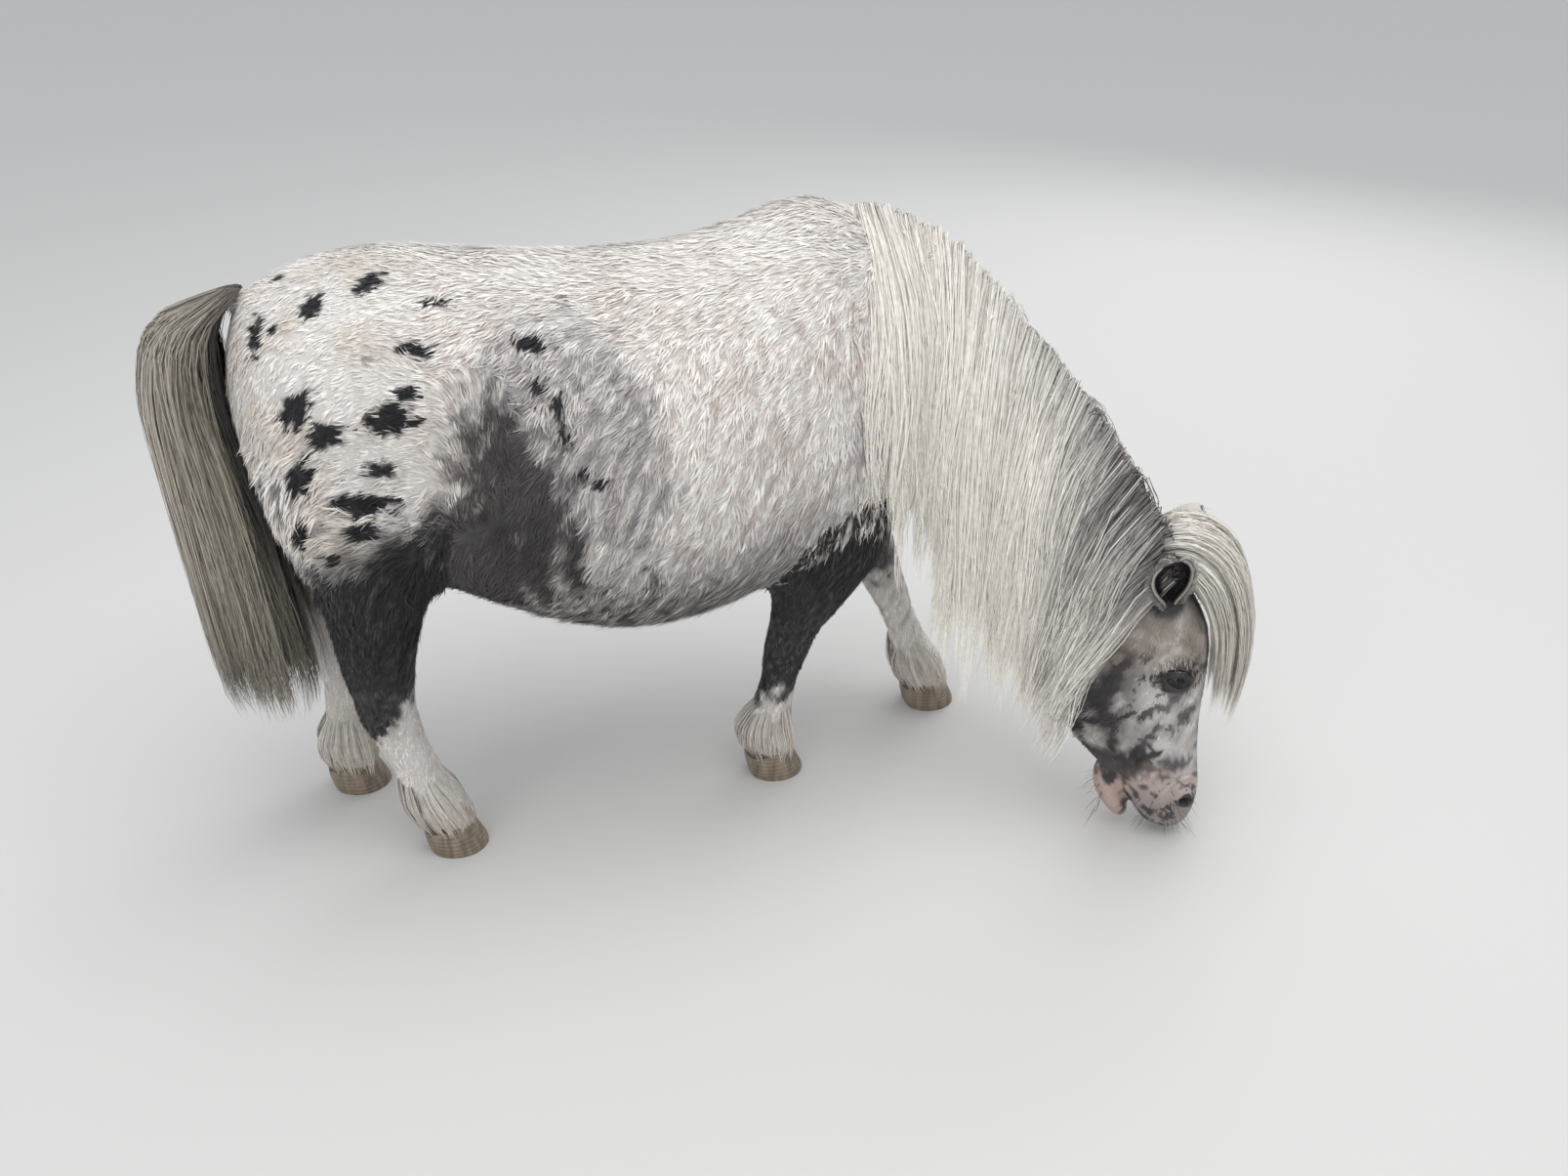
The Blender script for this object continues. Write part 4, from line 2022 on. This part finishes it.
@dataclass
class Ear:
    """One ear: a leaf rolled to a cup, with short fur on its rim and in its mouth.

    Turn, splay and lean are in degrees: about its own axis, outward and forward.
    """

    node: str
    side: int
    turn: float
    splay: float
    lean: float
    material: bpy.types.Material
    hair: bpy.types.Material
    hairs: int = 3200
    roll_at_foot: float = 140.0
    roll_at_tip: float = 62.0

    def placed(self, points: Points) -> Points:
        """Turns points from the ear's own frame to the pony's.

        Args:
            points: Places with the ear's foot as their origin.

        Returns:
            The same places in the pony's frame.
        """
        points = np.asarray(points, float)
        for axis, angle in ((2, self.side * self.turn), (0, -self.side * self.splay), (1, self.lean)):
            angle = math.radians(angle)
            a, b = [(1, 2), (2, 0), (0, 1)][axis]
            turned = points.copy()
            turned[..., a] = points[..., a] * math.cos(angle) - points[..., b] * math.sin(angle)
            turned[..., b] = points[..., a] * math.sin(angle) + points[..., b] * math.cos(angle)
            points = turned
        return from_head(points + EAR_PLACE * (1, self.side, 1))

    def leaf(self, t: float, across: Points, inward: float) -> Points:
        """Places points of the leaf.

        Args:
            t: Height along the ear, from 0 at its foot to 1 at its tip.
            across: From -1 at one edge to 1 at the other.
            inward: How far inside the outer face, in millimetres.

        Returns:
            The points in the ear's own frame.
        """
        radius = ear_radius(np.array(t))
        reach = max(radius - inward, 1.5)
        roll = across * math.radians(self.roll_at_foot + (self.roll_at_tip - self.roll_at_foot) * t)
        fold = 1 + 0.10 * np.cos(across * math.pi * 2)
        height = np.full_like(roll, t * EAR_LENGTH)
        return np.stack((-reach * np.cos(roll) * fold, reach * np.sin(roll), height), -1)

    def build(self) -> list[bpy.types.Object]:
        """Builds the ear.

        Returns:
            Its leaf and its fur.
        """
        shell = bmesh.new()
        made = bmesh.ops.create_grid(shell, x_segments=24, y_segments=29, size=1.0)
        for vertex in made["verts"]:
            t = (vertex.co.y + 1) / 2
            tip = math.sqrt(max(1 - t, 0)) if t > 0.9 else 1
            place = self.leaf(t, np.array([vertex.co.x * min(1, tip * 2.2)]), 0.0)[0]
            vertex.co = to_row(self.placed(place))
        mesh = mesh_of(shell, self.node)
        mesh = with_modifier(mesh, "SOLIDIFY", thickness=EAR_WALL * MM, offset=self.side * -1.0)
        points = from_row(mesh_points(mesh))
        tints = np.repeat((0.5 * Shade.CREAM.rgb + 0.5 * Shade.BEIGE.rgb)[None], len(points), 0)
        write_colours(mesh, tinted(tints, Shade.CHARCOAL, 0.9 * self.insideness(points)))
        mesh.shade_smooth()
        mesh.materials.append(self.material)
        piece = new_piece(self.node + "_leaf", mesh, "face_coat")
        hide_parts(self.node)
        return [piece, self.fur()]

    def insideness(self, points: Points) -> Points:
        """Says how far inside the cup points are.

        Args:
            points: Places in the pony's frame.

        Returns:
            From 0 on the outer face to 1 on the inner.
        """
        local = points - from_head(EAR_PLACE * (1, self.side, 1))
        axis = unit(self.placed(np.array((0.0, 0, 1))) - self.placed(np.zeros(3)))
        heights = local @ axis
        away = local - heights[:, None] * axis
        reach = np.linalg.norm(away, axis=1)
        return blend(1.0, 3.4, ear_radius(np.clip(heights / EAR_LENGTH, 0, 1)) - reach)

    def fur(self) -> bpy.types.Object:
        """Covers both faces and the rim of the ear with short hair.

        Returns:
            The fur.
        """
        count = strand_count(self.hairs)
        t = RNG.uniform(0.0, 0.99, count)
        place = RNG.uniform(-1, 1, count)
        inner = RNG.uniform(size=count) < 0.4
        rim = RNG.uniform(size=count) < 0.25
        place = np.where(rim, np.sign(place) * RNG.uniform(0.9, 1.0, count), place)
        depth = np.where(inner, EAR_WALL + 0.5, -0.3)
        beyond = np.minimum(t + 0.05, 1)
        root, ahead = (
            np.stack([self.leaf(float(a), np.array([b]), float(c))[0] for a, b, c in zip(at, place, depth)])
            for at in (t, beyond)
        )
        out = unit(root * (1, 1, 0)) * np.where(inner, -1, 1)[:, None]
        along = unit(ahead - root)
        length = np.where(rim, 9, np.where(inner, 11, 8)) * RNG.uniform(0.7, 1.3, count)
        s = np.array(TUFT_STEPS)
        lift = np.where(rim, 0.9, 0.25)[:, None, None]
        centres = root[:, None] + (along[:, None] + out[:, None] * lift) * (length[:, None] * s)[..., None]
        wide = np.cross(out, along)
        taper = np.array((0.6, 0.7, 0.45, 0)) * 1.1
        half = wide[:, None] * taper[None, :, None]
        base = self.placed(np.zeros(3))
        rim_tint = np.where(rim[:, None], Shade.CREAM.rgb, Shade.ROAN.rgb * 1.2)
        tints = np.where(inner[:, None], Shade.CHARCOAL.rgb, rim_tint) * RNG.uniform(0.7, 1.2, (count, 1))
        hairs = Hairs(
            self.placed(centres),
            self.placed(half) - base,
            np.repeat((self.placed(out) - base)[:, None], len(s), 1),
            np.repeat(tints[:, None], len(s), 1),
            roots_on(Part.HEAD, self.placed(root)),
        )
        return hairs.piece(self.node + "_fur", "face_coat", self.hair)


@dataclass
class Hoof:
    """One hoof: a sloped cone of horn on a flat sole, with a soft coronet.

    Sizes are in millimetres. Because the horn leans back, the sole's middle lies ahead of the
    middle of the CAD hoof's box.
    """

    node: str
    material: bpy.types.Material
    sole_radius: float = 39.0
    height: float = 44.0
    sole_ahead_of_box: float = 4.29
    lean: float = 14.0
    stretch: float = 1.1

    def build(self) -> list[bpy.types.Object]:
        """Builds the hoof where its CAD node stands.

        Returns:
            The piece.
        """
        low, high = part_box(self.node)
        ahead = (low.x + high.x) / 2 / MM + self.sole_ahead_of_box
        middle = np.array((ahead, (low.y + high.y) / 2 / MM, 0.0))
        horn = bmesh.new()
        wall = ((0.985, 0.0), (1.0, 2.5), (1.012, 6.0), (0.99, 16.0))
        profile = (*wall, (0.955, 28.0), (0.90, 38.0), (0.84, 43.5))
        loops = []
        for share, height in profile:
            made = bmesh.ops.create_circle(horn, segments=48, radius=self.sole_radius * share)
            for vertex in made["verts"]:
                rise = height / self.height
                heel = max(-vertex.co.x / self.sole_radius, 0)
                x = vertex.co.x * self.stretch - self.lean * rise
                bulb = 1.0 - 0.06 * heel * math.cos(min(abs(vertex.co.y) / 12, math.pi / 2))
                vertex.co = (x * bulb, vertex.co.y, height * (1 - 0.2 * heel * rise))
            loops.append(edges_of(made["verts"]))
        bridge(horn, loops)
        bmesh.ops.recalc_face_normals(horn, faces=horn.faces[:])
        bmesh.ops.scale(horn, vec=(MM, MM, MM), verts=horn.verts[:])
        bmesh.ops.translate(horn, vec=middle * MM, verts=horn.verts[:])
        mesh = mesh_of(horn, self.node)
        mesh.shade_smooth()
        mesh.set_sharp_from_angle(angle=math.radians(50))
        mesh.materials.append(self.material)
        piece = new_piece(self.node + "_horn", mesh, "hoof")
        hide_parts(self.node)
        return [piece]


@dataclass
class Eye:
    """One eyeball with its bulging clear front."""

    node: str
    side: int
    material: bpy.types.Material

    def build(self) -> list[bpy.types.Object]:
        """Builds the eyeball where its CAD node is.

        Returns:
            The piece.
        """
        bulge = 0.035
        ball = bmesh.new()
        bmesh.ops.create_uvsphere(ball, u_segments=48, v_segments=32, radius=EYE_RADIUS * MM)
        ahead, aside, above = EYE_WAY * (1, self.side, 1)
        outward = Vector(unit(ahead * FORWARD + aside * LEFTWARD + above * UPWARD))
        for vertex in ball.verts:
            facing = vertex.co.normalized().dot(outward)
            vertex.co *= 1 + bulge * float(blend(0.80, 0.95, np.array(facing)))
        bmesh.ops.translate(ball, vec=middle_of(self.node) * MM, verts=ball.verts[:])
        mesh = mesh_of(ball, self.node)
        mesh.shade_smooth()
        mesh.materials.append(self.material)
        piece = new_piece(self.node + "_ball", mesh, "eye")
        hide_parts(self.node)
        return [piece]


@dataclass
class Lashes:
    """The lashes over both eyes, and the feelers on lips and chin."""

    material: bpy.types.Material
    each: int = 26

    def build(self) -> list[bpy.types.Object]:
        """Builds lashes and feelers.

        Returns:
            One piece.
        """
        reach, droop = 20, 0.2
        roots, ways, lengths = [], [], []
        for side in (-1, 1):
            for u in np.linspace(-12, 13, self.each):
                rim = UPPER_LID * (1 - (u / LID_HALF_LENGTH) ** 2) ** LID_CURVE
                beside = side * math.sqrt(reach**2 - u**2 - rim**2)
                roots.append(EYE_PLACE * (1, side, 1) + (u, beside, rim - 0.2 * u))
                ways.append((0.25 + u * 0.02 + RNG.normal(0, 0.08), side, -0.35 + RNG.normal(0, 0.1)))
                lengths.append(RNG.uniform(6, 10))
            for _ in range(self.each):
                turn = side * RNG.uniform(0.4, 2.6)
                z = RNG.uniform(12, 70)
                roots.append((-8 + 40 * math.cos(turn), 40 * math.sin(turn), z))
                ways.append((math.cos(turn), math.sin(turn), -0.4 + RNG.normal(0, 0.2)))
                lengths.append(RNG.uniform(18, 34))
        for _ in range(self.each):
            turn = RNG.uniform(1.9, 4.4)
            roots.append((-92 + 18 * math.cos(turn), 28 * math.sin(turn), RNG.uniform(14, 70)))
            ways.append((math.cos(turn), math.sin(turn), -0.6 + RNG.normal(0, 0.2)))
            lengths.append(RNG.uniform(16, 32))
        root, way = np.array(roots), unit(np.array(ways))
        s = np.array((0.0, 0.3, 0.65, 1.0))
        length = np.array(lengths)[:, None] * s
        fall = UPWARD * (length * s)[..., None] * droop
        centres = from_head(root[:, None] + way[:, None] * length[..., None] - fall)
        along = unit(np.gradient(centres, axis=1))
        side_ways = unit(np.cross(along, UPWARD + 0.01))
        taper = np.array((0.5, 0.45, 0.3, 0.0)) * 0.8
        half = side_ways * taper[None, :, None]
        tints = np.broadcast_to(Shade.BLACK.rgb * 1.5, centres.shape)
        roots_place = roots_on(Part.HEAD, centres[:, 0])
        hairs = Hairs(centres, half, np.cross(side_ways, along), tints, roots_place)
        return [hairs.piece("lashes_and_feelers", "face_coat", self.material)]


def new_material(name: str) -> tuple[bpy.types.Material, bpy.types.ShaderNode]:
    """Makes a material.

    Args:
        name: Its name.

    Returns:
        The material and its surface node.
    """
    made = bpy.data.materials.new(name)
    made.use_nodes = True
    return made, made.node_tree.nodes["Principled BSDF"]


def grain_of(made: bpy.types.Material, scale: float, detail: float) -> bpy.types.ShaderNode:
    """Adds a fine grain that stays with the piece.

    Args:
        made: The material.
        scale: How fine the grain is.
        detail: How many finer grains are laid over it.

    Returns:
        The grain's node.
    """
    nodes = made.node_tree.nodes
    place = nodes.new("ShaderNodeTexCoord")
    noise = nodes.new("ShaderNodeTexNoise")
    noise.inputs["Scale"].default_value = scale
    noise.inputs["Detail"].default_value = detail
    made.node_tree.links.new(place.outputs["Object"], noise.inputs["Vector"])
    return noise


def scale_colour(made: bpy.types.Material, share: bpy.types.NodeSocket) -> None:
    """Gives the surface the mesh's own colour, scaled.

    Args:
        made: The material.
        share: What the colour is multiplied by.
    """
    nodes, links = made.node_tree.nodes, made.node_tree.links
    colour = nodes.new("ShaderNodeAttribute")
    colour.attribute_name = "Colour"
    mixed = nodes.new("ShaderNodeVectorMath")
    mixed.operation = "SCALE"
    links.new(colour.outputs["Color"], mixed.inputs[0])
    links.new(share, mixed.inputs["Scale"])
    links.new(mixed.outputs["Vector"], nodes["Principled BSDF"].inputs["Base Color"])


@dataclass(frozen=True)
class HairFinish:
    """A finish for hair that reads its colour from the mesh and is darker at its roots."""

    name: str
    roughness: float
    specular: float
    root_shade: float
    speckle: float
    root_reach: float = 0.45
    grain: float = 140.0

    def material(self) -> bpy.types.Material:
        """Makes the material.

        Returns:
            The material.
        """
        made, surface = new_material(self.name)
        nodes, links = made.node_tree.nodes, made.node_tree.links
        surface.inputs["Roughness"].default_value = self.roughness
        surface.inputs["Specular IOR Level"].default_value = self.specular
        along = nodes.new("ShaderNodeAttribute")
        along.attribute_name = "Along"
        depth = nodes.new("ShaderNodeMapRange")
        depth.inputs["From Max"].default_value = self.root_reach
        depth.inputs["To Min"].default_value = self.root_shade
        depth.inputs["To Max"].default_value = 1.0
        links.new(along.outputs["Fac"], depth.inputs["Value"])
        vary = nodes.new("ShaderNodeMapRange")
        vary.inputs["From Min"].default_value = 0.25
        vary.inputs["From Max"].default_value = 0.75
        vary.inputs["To Min"].default_value = 1 - self.speckle
        vary.inputs["To Max"].default_value = 1 + self.speckle
        links.new(grain_of(made, self.grain, 2.0).outputs["Fac"], vary.inputs["Value"])
        both = nodes.new("ShaderNodeMath")
        both.operation = "MULTIPLY"
        links.new(depth.outputs["Result"], both.inputs[0])
        links.new(vary.outputs["Result"], both.inputs[1])
        scale_colour(made, both.outputs["Value"])
        return made


@dataclass(frozen=True)
class SkinFinish:
    """Skin and the short fur that lies flat on it, with a fine grain."""

    name: str = "skin"
    roughness: float = 0.62
    specular: float = 0.35
    grain: float = 420.0
    relief: float = 0.0006
    relief_strength: float = 0.8
    darkest: float = 0.8
    lightest: float = 1.15

    def material(self) -> bpy.types.Material:
        """Makes the material.

        Returns:
            The material.
        """
        made, surface = new_material(self.name)
        nodes, links = made.node_tree.nodes, made.node_tree.links
        surface.inputs["Roughness"].default_value = self.roughness
        surface.inputs["Specular IOR Level"].default_value = self.specular
        noise = grain_of(made, self.grain, 3.0)
        bump = nodes.new("ShaderNodeBump")
        bump.inputs["Distance"].default_value = self.relief
        bump.inputs["Strength"].default_value = self.relief_strength
        links.new(noise.outputs["Fac"], bump.inputs["Height"])
        links.new(bump.outputs["Normal"], surface.inputs["Normal"])
        vary = nodes.new("ShaderNodeMapRange")
        vary.inputs["To Min"].default_value = self.darkest
        vary.inputs["To Max"].default_value = self.lightest
        links.new(noise.outputs["Fac"], vary.inputs["Value"])
        scale_colour(made, vary.outputs["Result"])
        return made


@dataclass(frozen=True)
class HornFinish:
    """Hoof horn with level growth rings and upright streaks."""

    name: str = "horn"
    pale: tuple[float, float, float, float] = (0.27, 0.215, 0.155, 1.0)
    dark: tuple[float, float, float, float] = (0.15, 0.115, 0.085, 1.0)
    roughness: float = 0.5
    streaks: tuple[float, float, float] = (90.0, 90.0, 12.0)
    rings: float = 48.0
    ring_relief: float = 0.0008

    def material(self) -> bpy.types.Material:
        """Makes the material.

        Returns:
            The material.
        """
        made, surface = new_material(self.name)
        nodes, links = made.node_tree.nodes, made.node_tree.links
        surface.inputs["Roughness"].default_value = self.roughness
        place = nodes.new("ShaderNodeTexCoord")
        stretch = nodes.new("ShaderNodeMapping")
        stretch.inputs["Scale"].default_value = self.streaks
        links.new(place.outputs["Object"], stretch.inputs["Vector"])
        streak = nodes.new("ShaderNodeTexNoise")
        streak.inputs["Scale"].default_value = 1.4
        streak.inputs["Detail"].default_value = 4.0
        links.new(stretch.outputs["Vector"], streak.inputs["Vector"])
        ramp = nodes.new("ShaderNodeValToRGB")
        ramp.color_ramp.elements[0].position = 0.36
        ramp.color_ramp.elements[0].color = self.dark
        ramp.color_ramp.elements[1].position = 0.62
        ramp.color_ramp.elements[1].color = self.pale
        links.new(streak.outputs["Fac"], ramp.inputs["Fac"])
        links.new(ramp.outputs["Color"], surface.inputs["Base Color"])
        rings = nodes.new("ShaderNodeTexWave")
        rings.wave_type = "BANDS"
        rings.bands_direction = "Z"
        rings.inputs["Scale"].default_value = self.rings
        rings.inputs["Distortion"].default_value = 1.6
        links.new(place.outputs["Object"], rings.inputs["Vector"])
        bump = nodes.new("ShaderNodeBump")
        bump.inputs["Distance"].default_value = self.ring_relief
        links.new(rings.outputs["Fac"], bump.inputs["Height"])
        links.new(bump.outputs["Normal"], surface.inputs["Normal"])
        return made


@dataclass(frozen=True)
class EyeFinish:
    """The wet dark eye."""

    name: str = "wet_eye"
    colour: tuple[float, float, float, float] = (0.006, 0.004, 0.003, 1.0)
    roughness: float = 0.12
    specular: float = 0.2
    wetness: float = 0.25

    def material(self) -> bpy.types.Material:
        """Makes the material.

        Returns:
            The material.
        """
        made, surface = new_material(self.name)
        surface.inputs["Base Color"].default_value = self.colour
        surface.inputs["Roughness"].default_value = self.roughness
        surface.inputs["Specular IOR Level"].default_value = self.specular
        surface.inputs["Coat Weight"].default_value = self.wetness
        surface.inputs["Coat Roughness"].default_value = 0.02
        return made


@dataclass
class Studio:
    """A plain pale floor, soft lights and the camera at the photograph's angle."""

    view: PhotoView

    def floor(self) -> None:
        """Builds the floor."""
        ground = bmesh.new()
        bmesh.ops.create_grid(ground, x_segments=1, y_segments=1, size=30.0)
        mesh = mesh_of(ground, "floor")
        finish, surface = new_material("pale_floor")
        surface.inputs["Base Color"].default_value = (0.62, 0.61, 0.59, 1.0)
        surface.inputs["Roughness"].default_value = 0.9
        mesh.materials.append(finish)
        plane = bpy.data.objects.new("floor", mesh)
        bpy.context.scene.collection.objects.link(plane)

    def lights(self) -> None:
        """Hangs a large soft light above and a weaker one on each side."""
        for name, place, size, power in (
            ("above", (0.2, -0.5, 3.2), 3.0, 58.0),
            ("camera_side", (-2.6, -2.8, 2.0), 2.2, 30.0),
            ("far_side", (2.6, 2.4, 2.2), 2.4, 30.0),
        ):
            lamp = bpy.data.lights.new(name, "AREA")
            lamp.size = size
            lamp.energy = power
            thing = bpy.data.objects.new(name, lamp)
            thing.location = place
            aim = Vector((0.0, 0.0, 0.4)) - Vector(place)
            thing.rotation_euler = aim.to_track_quat("-Z", "Y").to_euler()
            bpy.context.scene.collection.objects.link(thing)
        bpy.context.scene.view_settings.view_transform = "Standard"
        world = bpy.data.worlds.new("studio")
        world.use_nodes = True
        world.node_tree.nodes["Background"].inputs["Color"].default_value = (0.86, 0.89, 0.93, 1.0)
        world.node_tree.nodes["Background"].inputs["Strength"].default_value = 0.85
        bpy.context.scene.world = world

    def camera(self) -> None:
        """Sets the camera where the photograph was taken from."""
        lens = bpy.data.cameras.new("camera")
        lens.sensor_width = 36.0
        lens.lens = self.view.focal_pixels / PHOTO_SIZE[0] * lens.sensor_width
        thing = bpy.data.objects.new("camera", lens)
        thing.location = to_row(np.array(self.view.place))
        thing.rotation_euler = self.view.ahead().to_track_quat("-Z", "Y").to_euler()
        bpy.context.scene.collection.objects.link(thing)
        bpy.context.scene.camera = thing

    def build(self) -> None:
        """Builds floor, lights and camera."""
        self.floor()
        self.lights()
        self.camera()


def main() -> None:
    """Builds the pony piece by piece and reports each piece."""
    logging.basicConfig(level=logging.INFO, format="%(message)s")
    view = PhotoView()
    markings = Markings(placed_spots(view, cad_flesh(("torso", "hind_leg_right", "fore_leg_right"))))
    coat_look = HairFinish("coat_hair", roughness=0.65, specular=0.2, root_shade=0.72, speckle=0.08)
    long_look = HairFinish("long_hair", roughness=0.5, specular=0.3, root_shade=0.80, speckle=0.10)
    coat_hair, long_hair = coat_look.material(), long_look.material()
    skin_look = SkinFinish().material()
    Studio(view).build()
    skin = Skin(markings, voxel=3.1)
    surface = skin.build()
    surface.data.materials.append(skin_look)
    horn, wet_eye = HornFinish().material(), EyeFinish().material()
    builders = (
        Coat(skin, surface, coat_hair),
        Mane(surface, long_hair),
        Forelock(long_hair),
        Tail(long_hair),
        Feather(long_hair),
        Ear("ear_right", side=-1, turn=66, splay=36, lean=-2, material=skin_look, hair=coat_hair),
        Ear("ear_left", side=1, turn=34, splay=24, lean=26, material=skin_look, hair=coat_hair),
        Lashes(long_hair),
        Hoof("hoof_fore_right", horn),
        Hoof("hoof_fore_left", horn),
        Hoof("hoof_hind_right", horn),
        Hoof("hoof_hind_left", horn),
        Eye("eye_right", -1, wet_eye),
        Eye("eye_left", 1, wet_eye),
    )
    LOG.info("%s: %d faces", surface.name, len(surface.data.polygons))
    for builder in builders:
        for piece in builder.build():
            LOG.info("%s: %d faces", piece.name, len(piece.data.polygons))


if __name__ == "__main__":
    main()
